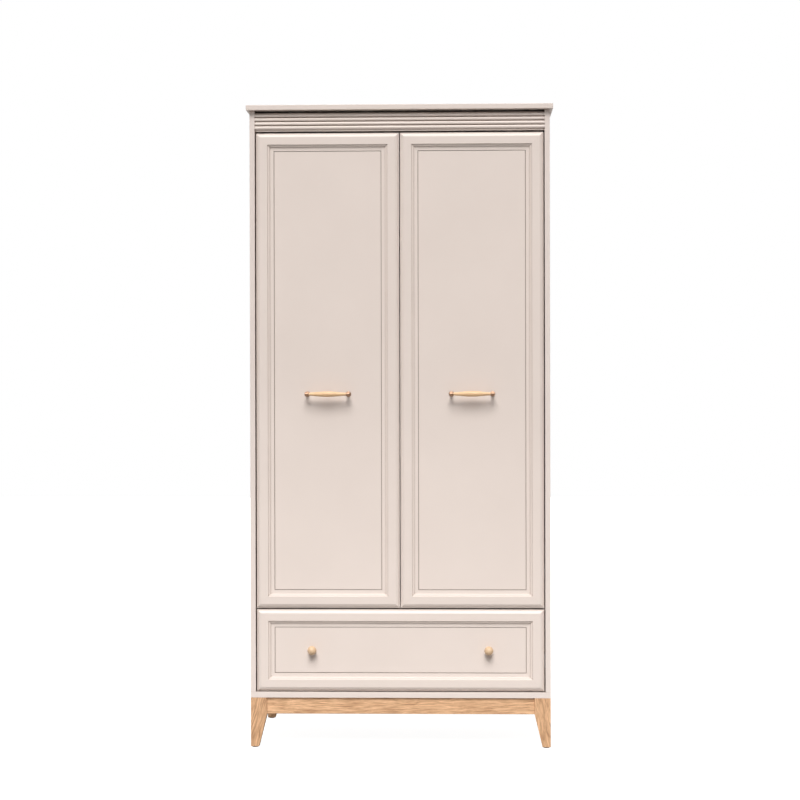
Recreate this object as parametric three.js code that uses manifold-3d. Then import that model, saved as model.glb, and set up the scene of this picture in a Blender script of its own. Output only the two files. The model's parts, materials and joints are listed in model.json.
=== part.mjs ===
// A two-door wardrobe with one drawer under the doors, on an oak leg frame.
// Millimetres, +Z up, the front faces -Y. The origin is on the floor, at the middle of the
// object's footprint with its door handles included.
import * as THREE from "three";
import { ConvexGeometry } from "three/addons/geometries/ConvexGeometry.js";
import { mergeVertices } from "three/addons/utils/BufferGeometryUtils.js";
import Module from "manifold-3d";

const wasm = await Module();
wasm.setup();

// ---- driving dimensions ----
const HEIGHT = 2000;
const WIDTH = 934; // across the carcass sides
const DEPTH = 560; // carcass front plane to the back of the cornice
const HANDLE_REACH = 30; // how far the door grips stand in front of the carcass front plane
const BOARD = 16;
const BOTTOM_BOARD = 18;
const LEG_FRAME = 155; // height of the leg frame

const CORNICE_SIDE = 10; // cornice overhang at each side
const CORNICE_FRONT = 16; // cornice overhang in front
const CORNICE_REVEAL = 7; // open groove between the frieze and the cornice
const FRIEZE = 57; // height of the reeded frieze
const DOOR_TOP_GAP = 6;
const DOOR_BOTTOM_GAP = 5; // between the doors and the drawer front
const DRAWER_FLOOR_GAP = 3;
const SIDE_GAP = 3.5; // between a door or drawer front and the carcass side
const MIDDLE_GAP = 3; // between the two doors
const DRAWER_FRONT = 254; // height of the drawer front

const FACE_THICK = 20; // doors and drawer front
const BACK_THICK = 3;
const BACK_INSET = 1; // back panel to the back of the cornice
const GAP = 0.3; // running gap between pieces that touch in a turned or cut place
const ARC_STEPS = 8; // straight steps in each half circle of an extruded section

// ---- derived places ----
const FRONT = HANDLE_REACH - (DEPTH + HANDLE_REACH) / 2; // y of the carcass front plane
const BACK = FRONT + DEPTH;
const BACK_FACE = BACK - BACK_INSET - BACK_THICK; // where the carcass boards end
const HALF = WIDTH / 2;
const INNER = HALF - BOARD; // inner face of a carcass side
const FLOOR_TOP = LEG_FRAME + BOTTOM_BOARD;
const DRAWER_Z = FLOOR_TOP + DRAWER_FLOOR_GAP;
const DRAWER_TOP = DRAWER_Z + DRAWER_FRONT;
const DOOR_Z = DRAWER_TOP + DOOR_BOTTOM_GAP;
const CORNICE_Z = HEIGHT - BOARD;
const FRIEZE_TOP = CORNICE_Z - CORNICE_REVEAL;
const FRIEZE_Z = FRIEZE_TOP - FRIEZE;
const DOOR_TOP = FRIEZE_Z - DOOR_TOP_GAP;
const DOOR_WIDTH = (2 * INNER - 2 * SIDE_GAP - MIDDLE_GAP) / 2;
const DOOR_MIDDLE_X = (MIDDLE_GAP + DOOR_WIDTH) / 2; // x of each door's middle, from the middle plane
const SIDES = [
  ["left", -1],
  ["right", 1],
];

// ---- materials ----
const finish = (color, roughness, metalness = 0) =>
  new THREE.MeshStandardMaterial({ color, roughness, metalness });
const LACQUER = finish(0xe6d9cf, 0.45);
const OAK = finish(0xd8a878, 0.6);
const BEECH = finish(0xf0cf9f, 0.5);
const COPPER = finish(0xb08060, 0.35, 1);
const STEEL = finish(0xb8babd, 0.35, 1);
const CHROME = finish(0xd6d8da, 0.12, 1);
const HARDBOARD = finish(0xe9e2d8, 0.7);
const DRAWER_BOARD = finish(0xe9e4dc, 0.6);

// ---- helpers ----
const wardrobe = new THREE.Group();

// Names a geometry as one sub-part and adds it to a group.
function addPart(name, geometry, material, parent = wardrobe) {
  const mesh = new THREE.Mesh(geometry, material);
  mesh.name = name;
  parent.add(mesh);
  return mesh;
}

// A board between two opposite corners, [x, y, z] each.
function board(name, low, high, material, parent = wardrobe) {
  const size = high.map((value, axis) => value - low[axis]);
  const mesh = addPart(name, new THREE.BoxGeometry(...size), material, parent);
  mesh.position.set(...low.map((value, axis) => value + size[axis] / 2));
  return mesh;
}

function shapeOf(points) {
  return new THREE.Shape(points.map(([x, y]) => new THREE.Vector2(x, y)));
}

// A section in the x-y plane, extruded along z between two heights.
function prism(shape, low, high) {
  const geometry = new THREE.ExtrudeGeometry(shape, {
    depth: high - low,
    bevelEnabled: false,
    curveSegments: ARC_STEPS,
  });
  return geometry.translate(0, 0, low);
}

// A section drawn as depth and height, extruded along x between the carcass sides.
function strip(shape, y, z) {
  const along = prism(shape, -INNER, INNER);
  return along.rotateX(Math.PI / 2).rotateZ(Math.PI / 2).translate(0, y, z);
}

// A shape turned about the y axis. Its profile runs [radius, y] and starts and ends on the axis.
function turned(profile, segments) {
  const points = profile.map(([radius, y]) => new THREE.Vector2(radius, y));
  return new THREE.LatheGeometry(points, segments);
}

function toSolid(geometry) {
  const bare = new THREE.BufferGeometry();
  bare.setAttribute("position", geometry.getAttribute("position"));
  bare.setIndex(geometry.getIndex());
  const merged = mergeVertices(bare, 1e-4);
  return new wasm.Manifold(
    new wasm.Mesh({
      numProp: 3,
      vertProperties: merged.getAttribute("position").array,
      triVerts: new Uint32Array(merged.getIndex().array),
    }),
  );
}

function toGeometry(solid) {
  const mesh = solid.getMesh();
  const geometry = new THREE.BufferGeometry();
  geometry.setAttribute(
    "position",
    new THREE.BufferAttribute(mesh.vertProperties, 3),
  );
  geometry.setIndex(new THREE.BufferAttribute(mesh.triVerts, 1));
  return geometry;
}

// ---- leg frame ----
const LEG_TOP = 50; // square section of a leg where it meets the rails
const LEG_FOOT = 25; // square section at the floor
const RAIL_HEIGHT = 51;
const RAIL_THICK = 20;
const RAIL_SETBACK = 6; // rails behind the outer faces of the legs
const RAIL_Z = LEG_FRAME - RAIL_HEIGHT;

// A leg with upright outer faces, tapered on its two inner faces below the rails.
function makeLeg(name, sideX, sideY) {
  const squares = [
    [LEG_TOP, LEG_FRAME],
    [LEG_TOP, RAIL_Z],
    [LEG_FOOT, 0],
  ];
  const points = squares.flatMap(([width, z]) =>
    [
      [0, 0],
      [width, 0],
      [0, width],
      [width, width],
    ].map(([inX, inY]) => new THREE.Vector3(-sideX * inX, -sideY * inY, z)),
  );
  const leg = addPart(name, new ConvexGeometry(points), OAK);
  leg.position.set(sideX * HALF, sideY < 0 ? FRONT : BACK, 0);
}

function makeLegFrame() {
  for (const [side, sideX] of SIDES) {
    makeLeg(`front_${side}_leg`, sideX, -1);
    makeLeg(`rear_${side}_leg`, sideX, 1);
    const outer = sideX * (HALF - RAIL_SETBACK);
    const inner = outer - sideX * RAIL_THICK;
    board(
      `${side}_base_rail`,
      [Math.min(outer, inner), FRONT + LEG_TOP, RAIL_Z],
      [Math.max(outer, inner), BACK - LEG_TOP, LEG_FRAME],
      OAK,
    );
  }
  const reach = HALF - LEG_TOP;
  const frontFace = FRONT + RAIL_SETBACK;
  const rearFace = BACK - RAIL_SETBACK;
  board(
    "front_base_rail",
    [-reach, frontFace, RAIL_Z],
    [reach, frontFace + RAIL_THICK, LEG_FRAME],
    OAK,
  );
  board(
    "rear_base_rail",
    [-reach, rearFace - RAIL_THICK, RAIL_Z],
    [reach, rearFace, LEG_FRAME],
    OAK,
  );
}

// ---- carcass ----
const DIVIDER_SETBACK = 26; // clear of the swing of the doors' back corners
const BACK_MARGIN = 2; // back panel's edges inside the carcass outline
const TOP_PANEL_LIFT = 6;
const SHELF_Z = 1630;
const SHELF_SETBACK = 70;
const SHELF_SIDE_GAP = 1;
const RAIL_DROP = 50; // hat shelf down to the hanging rail's middle
const REED_PITCH = 12.7;
const REED_HALF = 6.1;
const REED_RELIEF = 5;
const REED_COUNT = 4;
const REED_STEPS = 8;
const REED_TOP_MARGIN = 1.5;

function makeCarcass() {
  for (const [side, sideX] of SIDES)
    board(
      `${side}_side_panel`,
      [sideX < 0 ? -HALF : INNER, FRONT, FLOOR_TOP],
      [sideX < 0 ? -INNER : HALF, BACK_FACE, CORNICE_Z],
      LACQUER,
    );
  board("bottom_panel", [-HALF, FRONT, LEG_FRAME], [HALF, BACK_FACE, FLOOR_TOP], LACQUER);
  // The divider stands behind the gap between the doors and the drawer front.
  const dividerZ = DRAWER_TOP + DOOR_BOTTOM_GAP / 2 - BOARD / 2;
  board(
    "divider_shelf",
    [-INNER, FRONT + DIVIDER_SETBACK, dividerZ],
    [INNER, BACK_FACE, dividerZ + BOARD],
    LACQUER,
  );
  const panelZ = FRIEZE_Z + TOP_PANEL_LIFT;
  board(
    "top_panel",
    [-INNER, FRONT + FACE_THICK, panelZ],
    [INNER, BACK_FACE, panelZ + BOARD],
    LACQUER,
  );
  board(
    "hat_shelf",
    [-INNER + SHELF_SIDE_GAP, FRONT + SHELF_SETBACK, SHELF_Z],
    [INNER - SHELF_SIDE_GAP, BACK_FACE - SHELF_SIDE_GAP, SHELF_Z + BOARD],
    LACQUER,
  );
  board(
    "back_panel",
    [-HALF + BACK_MARGIN, BACK_FACE, LEG_FRAME + BACK_MARGIN],
    [HALF - BACK_MARGIN, BACK_FACE + BACK_THICK, CORNICE_Z - BACK_MARGIN],
    HARDBOARD,
  );
  board(
    "top_cornice",
    [-HALF - CORNICE_SIDE, FRONT - CORNICE_FRONT, CORNICE_Z],
    [HALF + CORNICE_SIDE, BACK, HEIGHT],
    LACQUER,
  );
  makeFrieze();
  makeHangingRail();
}

// A strip with half-round reeds along it, one above the other, on its front.
function makeFrieze() {
  const points = [
    [FACE_THICK, 0],
    [FACE_THICK, FRIEZE],
    [REED_RELIEF, FRIEZE],
  ];
  for (let reed = 0; reed < REED_COUNT; reed++) {
    const middle = FRIEZE - REED_TOP_MARGIN - REED_PITCH * (reed + 0.5);
    for (let step = 0; step <= REED_STEPS; step++) {
      const angle = (Math.PI * step) / REED_STEPS;
      points.push([
        REED_RELIEF * (1 - Math.sin(angle)),
        middle + REED_HALF * Math.cos(angle),
      ]);
    }
  }
  points.push([REED_RELIEF, 0]);
  addPart("reeded_frieze", strip(shapeOf(points), FRONT, FRIEZE_Z), LACQUER);
}

const RAIL_TALL = 30; // section of the oval hanging rail
const RAIL_WIDE = 15;
const RAIL_WALL = 1.2;

// A rounded oblong, taller than it is wide, centred on 0, 0.
function ovalPath(Kind, width, height) {
  const radius = width / 2;
  const straight = height / 2 - radius;
  const path = new Kind();
  path.absarc(0, straight, radius, 0, Math.PI);
  path.absarc(0, -straight, radius, Math.PI, 2 * Math.PI);
  path.closePath();
  return path;
}

function makeHangingRail() {
  const section = ovalPath(THREE.Shape, RAIL_WIDE, RAIL_TALL);
  section.holes.push(
    ovalPath(THREE.Path, RAIL_WIDE - 2 * RAIL_WALL, RAIL_TALL - 2 * RAIL_WALL),
  );
  const middleY = (FRONT + FACE_THICK + BACK_FACE) / 2;
  addPart("hanging_rail", strip(section, middleY, SHELF_Z - RAIL_DROP), CHROME);
}

// ---- mitred frames of the doors and the drawer front ----
const LIP_WIDE = 3; // thin step round the outer edge
const LIP_DEEP = 6;
const EDGE_ROUND = 10; // width of the rounded shoulder inside the lip
const EDGE_RISE = 4.5;
const EDGE_STEPS = 5;
const FLAT_END = 35; // where the flat face ends and the inner slope starts
const SLOPE_END = 47.5;
const SLOPE_DEEP = 7;
const BEAD_END = 54;
const FRAME_WIDE = 56.5;
const PANEL_DEPTH = 9.6; // frame face to panel face
const PANEL_THICK = 6.2;
const PANEL_TUCK = 8; // how far the panel's edge runs into the groove

// The frame's section: distance in from the outer edge, depth behind the face.
function frameSection() {
  const points = [
    [0, FACE_THICK],
    [0, LIP_DEEP],
    [LIP_WIDE, LIP_DEEP],
  ];
  for (let step = 0; step <= EDGE_STEPS; step++) {
    const angle = ((Math.PI / 2) * step) / EDGE_STEPS;
    points.push([
      LIP_WIDE + EDGE_ROUND * (1 - Math.cos(angle)),
      EDGE_RISE * (1 - Math.sin(angle)),
    ]);
  }
  const grooveFloor = FRAME_WIDE - PANEL_TUCK - GAP;
  const grooveFront = PANEL_DEPTH - GAP;
  const grooveBack = PANEL_DEPTH + PANEL_THICK + GAP;
  points.push(
    [FLAT_END, 0],
    [SLOPE_END, SLOPE_DEEP],
    [BEAD_END, SLOPE_DEEP],
    [FRAME_WIDE, grooveFront],
    [grooveFloor, grooveFront],
    [grooveFloor, grooveBack],
    [FRAME_WIDE, grooveBack],
    [FRAME_WIDE, FACE_THICK],
  );
  return points;
}

// One mitred member, upright, with its outer edge at x = -reach and its face at y = 0.
function mitredMember(length, reach) {
  const member = prism(shapeOf(frameSection()), 0, length);
  const position = member.getAttribute("position");
  for (let i = 0; i < position.count; i++) {
    const inward = position.getX(i) + GAP / 2;
    const along = position.getZ(i) > 0 ? length - inward : inward;
    position.setXYZ(i, position.getX(i) - reach, position.getY(i), along - length / 2);
  }
  return member;
}

// A whole frame in one piece: the section carried round a rectangle with mitred corners.
function mitredFrame(width, height) {
  const section = frameSection();
  const vertices = section.flatMap(([inward, depth]) => {
    const x = width / 2 - inward;
    const z = height / 2 - inward;
    return [-x, depth, -z, x, depth, -z, x, depth, z, -x, depth, z];
  });
  const faces = section.flatMap((_, i) => {
    const here = 4 * i;
    const there = 4 * ((i + 1) % section.length);
    return [0, 1, 2, 3].flatMap((corner) => {
      const next = (corner + 1) % 4;
      return [
        here + corner, there + next, there + corner,
        here + corner, here + next, there + next,
      ];
    });
  });
  const geometry = new THREE.BufferGeometry();
  geometry.setAttribute("position", new THREE.Float32BufferAttribute(vertices, 3));
  geometry.setIndex(faces);
  return geometry;
}

// The flat panel that sits in a frame's groove.
function panelFor(name, width, height, parent) {
  const x = width / 2 - FRAME_WIDE + PANEL_TUCK;
  const z = height / 2 - FRAME_WIDE + PANEL_TUCK;
  board(
    name,
    [-x, PANEL_DEPTH, -z],
    [x, PANEL_DEPTH + PANEL_THICK, z],
    LACQUER,
    parent,
  );
}

// ---- hinges ----
// A cup hinge for an inset door: the cup is let into the door's back, and the arm reaches from
// the carcass side into the cup, where its eye turns on the cup's pin.
const CUP_FROM_EDGE = 22.5; // door edge to the cup's middle
const CUP_RADIUS = 17.5;
const CUP_DEPTH = 12.5;
const CUP_WALL = 1;
const CUP_FLOOR = 0.8;
const CUP_RIM = 19; // radius of the flange on the door's back
const FLANGE_THICK = 1.2;
const WING_LONG = 62; // the flange's two screw wings, end to end
const WING_WIDE = 17;
const CUP_SEGMENTS = 20;
const PIVOT_X = 14; // hinge axis from the carcass side's inner face
const PIVOT_DEPTH = 11.2; // hinge axis behind the front plane
const PIN_RADIUS = 1.2;
const PIN_SEGMENTS = 10;
const EYE_RADIUS = 2.5;
const EYE_HOLE = 1.5;
const HINGE_FROM_END = 100; // outer hinges from the door's ends
const HINGE_HEIGHTS = [
  ["lower", DOOR_Z + HINGE_FROM_END],
  ["middle", (DOOR_Z + DOOR_TOP) / 2],
  ["upper", DOOR_TOP - HINGE_FROM_END],
];

// A round bar along z, for pins.
function roundBar(radius, length, segments) {
  return new THREE.CylinderGeometry(radius, radius, length, segments).rotateX(Math.PI / 2);
}

// The cup's middle is at x = 0, the door's face at y = 0; its pin is at x = pinX.
function cupGeometry(pinX) {
  const floor = FACE_THICK - CUP_DEPTH;
  const rim = FACE_THICK + FLANGE_THICK;
  const cup = turned(
    [
      [0, floor],
      [CUP_RADIUS, floor],
      [CUP_RADIUS, FACE_THICK + GAP / 3],
      [CUP_RIM, FACE_THICK + GAP / 3],
      [CUP_RIM, rim],
      [CUP_RADIUS - CUP_WALL, rim],
      [CUP_RADIUS - CUP_WALL, floor + CUP_FLOOR],
      [0, floor + CUP_FLOOR],
    ],
    CUP_SEGMENTS,
  );
  const wingDepth = rim - FACE_THICK - GAP / 3;
  const wings = new THREE.BoxGeometry(WING_WIDE, wingDepth, WING_LONG)
    .translate(0, rim - wingDepth / 2, 0);
  const mouth = new THREE.CylinderGeometry(
    CUP_RADIUS - CUP_WALL, CUP_RADIUS - CUP_WALL, 4 * wingDepth, CUP_SEGMENTS,
  ).translate(0, rim, 0);
  const pinOuter = Math.abs(pinX) + PIN_RADIUS;
  const chord = Math.sqrt((CUP_RADIUS - CUP_WALL / 2) ** 2 - pinOuter ** 2);
  const pin = roundBar(PIN_RADIUS, 2 * chord, PIN_SEGMENTS).translate(pinX, PIVOT_DEPTH, 0);
  return toGeometry(
    toSolid(cup).add(toSolid(wings).subtract(toSolid(mouth))).add(toSolid(pin)),
  );
}

const ARM_THICK = 3;
const ARM_HALF_HEIGHT = 6;
const NECK_X = 30; // where the gooseneck leaves the cup
const NECK_DEPTH = 27;
const ARM_FRONT = 42; // arm body along the carcass side
const ARM_BACK = 96;
const ARM_RISE = 13; // arm body's reach from the carcass side
const ARM_BEVEL = 5; // slopes at the arm's corners
const PLATE_THICK = 2.5;
const PLATE_FRONT = 50;
const PLATE_BACK = 84;
const PLATE_HALF_HEIGHT = 26;

// The arm seen from above: x out from the carcass side, y back from the front plane. It leaves
// the eye inside the cup, turns back along the gooseneck and ends in the body on its plate.
function armGeometry(mirror) {
  const eye = [PIVOT_X, PIVOT_DEPTH];
  const eyeBack = PIVOT_DEPTH + EYE_RADIUS;
  const eyeFront = PIVOT_DEPTH - EYE_RADIUS;
  const neckNear = NECK_X - ARM_THICK / 2;
  const neckFar = NECK_X + ARM_THICK / 2;
  const outline = [
    [PIVOT_X, eyeBack],
    [neckNear - ARM_BEVEL / 2, eyeBack - 0.5],
    [neckNear, eyeBack + ARM_BEVEL / 2],
    [neckNear, NECK_DEPTH - 1],
    [ARM_RISE, ARM_FRONT],
    [PLATE_THICK, ARM_FRONT + ARM_BEVEL],
    [PLATE_THICK, ARM_BACK],
    [ARM_RISE - ARM_BEVEL / 2, ARM_BACK],
    [ARM_RISE, ARM_BACK - ARM_BEVEL],
    [ARM_RISE, ARM_FRONT + ARM_BEVEL],
    [neckFar, NECK_DEPTH + 1],
    [neckFar, eyeBack],
    [NECK_X - ARM_BEVEL / 2, eyeFront + ARM_BEVEL / 2],
    [PIVOT_X, eyeFront],
  ];
  const arm = toSolid(prism(shapeOf(outline), -ARM_HALF_HEIGHT, ARM_HALF_HEIGHT));
  const boss = roundBar(EYE_RADIUS, 2 * ARM_HALF_HEIGHT, PIN_SEGMENTS).translate(...eye, 0);
  const hole = roundBar(EYE_HOLE, 3 * ARM_HALF_HEIGHT, PIN_SEGMENTS).translate(...eye, 0);
  const plate = new THREE.BoxGeometry(
    PLATE_THICK + GAP, PLATE_BACK - PLATE_FRONT, 2 * PLATE_HALF_HEIGHT,
  ).translate((PLATE_THICK + GAP) / 2, (PLATE_FRONT + PLATE_BACK) / 2, 0);
  const joined = arm.add(toSolid(boss)).add(toSolid(plate)).subtract(toSolid(hole));
  return toGeometry(mirror ? joined.mirror([1, 0, 0]) : joined);
}

// ---- doors ----
const HANDLE_Z = 1101;
const POST_SPACING = 128;
const GRIP_OUT = 31; // grip axis in front of the door panel
const GRIP_MIDDLE_RADIUS = HANDLE_REACH + PANEL_DEPTH - GRIP_OUT;
const GRIP_END_RADIUS = 5;
const GRIP_SEGMENTS = 20;
const GRIP_STEPS = 10;
const GRIP_SWELL = 1.5; // how quickly the grip's outline falls away from its middle
const POST_RADIUS = 4.4;
const BARREL_RADIUS = 6; // the post's cross barrel, which holds the end of the grip
const BARREL_LONG = 13;
const BARREL_ROUND = 1; // rounding of the barrel's ends
const POST_BASE = 8;
const POST_BASE_TALL = 2;
const POST_FLARE = 3;
const POST_SEGMENTS = 16;

// A turned grip along x, fullest in the middle, between its two posts.
function gripGeometry() {
  const half = (POST_SPACING - BARREL_LONG) / 2 - GAP;
  const profile = [[0, -half]];
  for (let step = 0; step <= GRIP_STEPS; step++) {
    const along = (2 * step) / GRIP_STEPS - 1;
    const fullness = Math.max(Math.cos((Math.PI / 2) * along), 0) ** GRIP_SWELL;
    profile.push([
      GRIP_END_RADIUS + (GRIP_MIDDLE_RADIUS - GRIP_END_RADIUS) * fullness,
      half * along,
    ]);
  }
  profile.push([0, half]);
  return turned(profile, GRIP_SEGMENTS).rotateZ(-Math.PI / 2);
}

// A post that stands on the panel, along y, with its foot at y = 0 and its barrel towards -y.
function postGeometry() {
  const post = turned(
    [
      [0, -GRIP_OUT],
      [POST_RADIUS, -GRIP_OUT],
      [POST_RADIUS, -POST_BASE_TALL - POST_FLARE],
      [POST_BASE, -POST_BASE_TALL],
      [POST_BASE, -GAP],
      [0, -GAP],
    ],
    POST_SEGMENTS,
  );
  const half = BARREL_LONG / 2;
  const barrel = turned(
    [
      [0, -half],
      [BARREL_RADIUS - BARREL_ROUND, -half],
      [BARREL_RADIUS, -half + BARREL_ROUND],
      [BARREL_RADIUS, half - BARREL_ROUND],
      [BARREL_RADIUS - BARREL_ROUND, half],
      [0, half],
    ],
    POST_SEGMENTS,
  );
  barrel.rotateZ(Math.PI / 2).translate(0, -GRIP_OUT, 0);
  return toGeometry(toSolid(post).add(toSolid(barrel)));
}

function makeHandle(side, door) {
  const grip = addPart(`${side}_door_grip`, gripGeometry(), BEECH, door);
  const z = HANDLE_Z - (DOOR_Z + DOOR_TOP) / 2;
  grip.position.set(0, PANEL_DEPTH - GRIP_OUT, z);
  for (const [end, sign] of [["left", -1], ["right", 1]]) {
    const post = addPart(`${side}_door_${end}_post`, postGeometry(), COPPER, door);
    post.position.set((sign * POST_SPACING) / 2, PANEL_DEPTH, z);
  }
}

function makeDoor(side, sideX) {
  const height = DOOR_TOP - DOOR_Z;
  const middleZ = (DOOR_Z + DOOR_TOP) / 2;
  const door = new THREE.Group();
  door.position.set(sideX * DOOR_MIDDLE_X, FRONT, middleZ);
  wardrobe.add(door);

  const stile = mitredMember(height, DOOR_WIDTH / 2);
  const rail = mitredMember(DOOR_WIDTH, height / 2);
  // The hinge stile is on the outer side: its outer edge is at -x before it is turned.
  let bored = toSolid(stile);
  for (const [, z] of HINGE_HEIGHTS) {
    const drill = new THREE.CylinderGeometry(
      CUP_RADIUS + GAP, CUP_RADIUS + GAP, 2 * CUP_DEPTH + 2 * GAP, CUP_SEGMENTS,
    );
    const place = z - middleZ;
    drill.translate(CUP_FROM_EDGE - DOOR_WIDTH / 2, FACE_THICK, place);
    bored = bored.subtract(toSolid(drill));
  }
  const turn = sideX < 0 ? 0 : Math.PI;
  addPart(`${side}_door_hinge_stile`, toGeometry(bored), LACQUER, door).rotation.y = turn;
  addPart(`${side}_door_meeting_stile`, stile, LACQUER, door).rotation.y = turn + Math.PI;
  addPart(`${side}_door_top_rail`, rail, LACQUER, door).rotation.y = Math.PI / 2;
  addPart(`${side}_door_bottom_rail`, rail, LACQUER, door).rotation.y = -Math.PI / 2;
  panelFor(`${side}_door_panel`, DOOR_WIDTH, height, door);
  makeHandle(side, door);

  const pinX = sideX * (CUP_FROM_EDGE + SIDE_GAP - PIVOT_X);
  for (const [level, z] of HINGE_HEIGHTS) {
    const cup = addPart(`${side}_${level}_hinge_cup`, cupGeometry(pinX), STEEL);
    cup.position.set(sideX * (INNER - SIDE_GAP - CUP_FROM_EDGE), FRONT, z);
    const arm = addPart(`${side}_${level}_hinge_arm`, armGeometry(sideX > 0), STEEL);
    arm.position.set(sideX * INNER, FRONT, z);
  }
}

// ---- drawer ----
const SLIDE_THICK = 13; // all three members of a slide together
const SIDE_THICK = 12;
const BOX_LENGTH = 470;
const BOX_Z = DRAWER_Z + 19;
const BOX_TALL = 185;
const BOX_BOTTOM_LIFT = 10;
const BOX_BOTTOM_THICK = 4;
const BACK_DROP = 15; // the box back is this much lower than the sides
const KNOB_SPREAD = 275; // each knob from the middle plane
const KNOB_RADIUS = 14;
const KNOB_OUT = 17.5; // knob's middle in front of the panel
const KNOB_NECK = 5.5;
const KNOB_NECK_LONG = 2.5;
const KNOB_FOOT = 7.5;
const KNOB_SEGMENTS = 20;
const KNOB_STEPS = 8;

// A ball knob on a flared neck, along y, with its foot at y = 0 and its ball towards -y.
function knobGeometry() {
  const profile = [];
  const neckAngle = Math.asin(KNOB_NECK / KNOB_RADIUS);
  for (let step = 0; step <= KNOB_STEPS; step++) {
    const angle = ((Math.PI - neckAngle) * step) / KNOB_STEPS;
    profile.push([KNOB_RADIUS * Math.sin(angle), -KNOB_OUT - KNOB_RADIUS * Math.cos(angle)]);
  }
  profile.push([KNOB_NECK, -KNOB_NECK_LONG], [KNOB_FOOT, -GAP], [0, -GAP]);
  return turned(profile, KNOB_SEGMENTS);
}

const SLIDE_LONG = 450;
const SLIDE_WALL = 1.2;
const SLIDE_DROP = 20; // slide's middle below the middle of the box side
const SLIDE_SETBACK = 2; // slide's front end behind the drawer front
// Each member of a ball-bearing slide is a channel. Its back and the tips of its two lips are
// measured out from the carcass side, and half is half its height.
const SLIDE_MEMBERS = [
  { part: "outer", back: 0, tip: 10, half: 22.5 },
  { part: "middle", back: 2.2, tip: 11, half: 19 },
  { part: "inner", back: SLIDE_THICK, tip: 4.4, half: 15.5 },
];

function makeSlides() {
  const z = BOX_Z + BOX_TALL / 2 - SLIDE_DROP;
  for (const [side, sideX] of SIDES)
    for (const { part, back, tip, half } of SLIDE_MEMBERS) {
      const web = back + Math.sign(tip - back) * SLIDE_WALL;
      const outline = [
        [back, -half],
        [tip, -half],
        [tip, -half + SLIDE_WALL],
        [web, -half + SLIDE_WALL],
        [web, half - SLIDE_WALL],
        [tip, half - SLIDE_WALL],
        [tip, half],
        [back, half],
      ].map(([x, height]) => [-sideX * x, height]);
      const channel = prism(shapeOf(outline), 0, SLIDE_LONG);
      channel.rotateX(Math.PI / 2);
      const slide = addPart(`${side}_slide_${part}`, channel, STEEL);
      slide.position.set(sideX * INNER, FRONT + FACE_THICK + SLIDE_SETBACK + SLIDE_LONG, z);
    }
}

function makeDrawer() {
  const width = 2 * INNER - 2 * SIDE_GAP;
  const front = new THREE.Group();
  front.position.set(0, FRONT, (DRAWER_Z + DRAWER_TOP) / 2);
  wardrobe.add(front);
  addPart("drawer_front_frame", mitredFrame(width, DRAWER_FRONT), LACQUER, front);
  panelFor("drawer_front_panel", width, DRAWER_FRONT, front);
  for (const [side, sideX] of SIDES) {
    const knob = addPart(`drawer_${side}_knob`, knobGeometry(), BEECH, front);
    knob.position.set(sideX * KNOB_SPREAD, PANEL_DEPTH, 0);
  }

  const boxFront = FRONT + FACE_THICK;
  const boxBack = boxFront + BOX_LENGTH;
  const outer = INNER - SLIDE_THICK;
  const inner = outer - SIDE_THICK;
  for (const [side, sideX] of SIDES)
    board(
      `drawer_${side}_side`,
      [sideX < 0 ? -outer : inner, boxFront, BOX_Z],
      [sideX < 0 ? -inner : outer, boxBack, BOX_Z + BOX_TALL],
      DRAWER_BOARD,
    );
  const bottomZ = BOX_Z + BOX_BOTTOM_LIFT;
  const bottomTop = bottomZ + BOX_BOTTOM_THICK;
  board("drawer_bottom", [-inner, boxFront, bottomZ], [inner, boxBack, bottomTop], HARDBOARD);
  board(
    "drawer_back",
    [-inner, boxBack - SIDE_THICK, bottomTop],
    [inner, boxBack, BOX_Z + BOX_TALL - BACK_DROP],
    DRAWER_BOARD,
  );
  makeSlides();
}

makeLegFrame();
makeCarcass();
for (const [side, sideX] of SIDES) makeDoor(side, sideX);
makeDrawer();

export default wardrobe;
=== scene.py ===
"""A two-door wardrobe with a drawer on an oak leg frame, dressed for a studio picture.

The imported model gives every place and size. Each sub-assembly below is a class that shapes its pieces
with Blender's modelling tools, gives them their finishes and lets them ride on the body they belong to.
"""

import json
import logging
import math
from collections.abc import Callable, Iterable, Iterator, Mapping, Sequence
from contextlib import contextmanager
from dataclasses import dataclass, field, replace
from enum import Enum

import bmesh
import bpy
from mathutils import Euler, Matrix, Vector


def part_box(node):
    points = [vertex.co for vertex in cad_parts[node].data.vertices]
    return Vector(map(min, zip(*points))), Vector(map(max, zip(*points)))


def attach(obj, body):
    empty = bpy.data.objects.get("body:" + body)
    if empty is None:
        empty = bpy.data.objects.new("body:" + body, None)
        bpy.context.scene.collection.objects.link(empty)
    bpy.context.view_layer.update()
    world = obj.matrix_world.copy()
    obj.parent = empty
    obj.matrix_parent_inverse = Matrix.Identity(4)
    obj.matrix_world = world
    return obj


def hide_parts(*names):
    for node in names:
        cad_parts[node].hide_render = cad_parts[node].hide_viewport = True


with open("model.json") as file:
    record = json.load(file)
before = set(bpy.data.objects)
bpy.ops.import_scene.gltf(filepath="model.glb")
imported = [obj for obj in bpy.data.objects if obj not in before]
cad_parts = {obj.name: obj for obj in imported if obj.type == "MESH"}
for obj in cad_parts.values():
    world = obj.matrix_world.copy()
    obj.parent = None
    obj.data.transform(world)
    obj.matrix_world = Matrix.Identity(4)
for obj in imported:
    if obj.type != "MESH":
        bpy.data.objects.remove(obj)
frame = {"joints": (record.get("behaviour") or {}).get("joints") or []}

log = logging.getLogger("wardrobe")
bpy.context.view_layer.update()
MM = 0.001
X = Vector((1, 0, 0))
Y = Vector((0, 1, 0))
Z = Vector((0, 0, 1))
Test = Callable[[Vector, Vector], bool]


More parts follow.
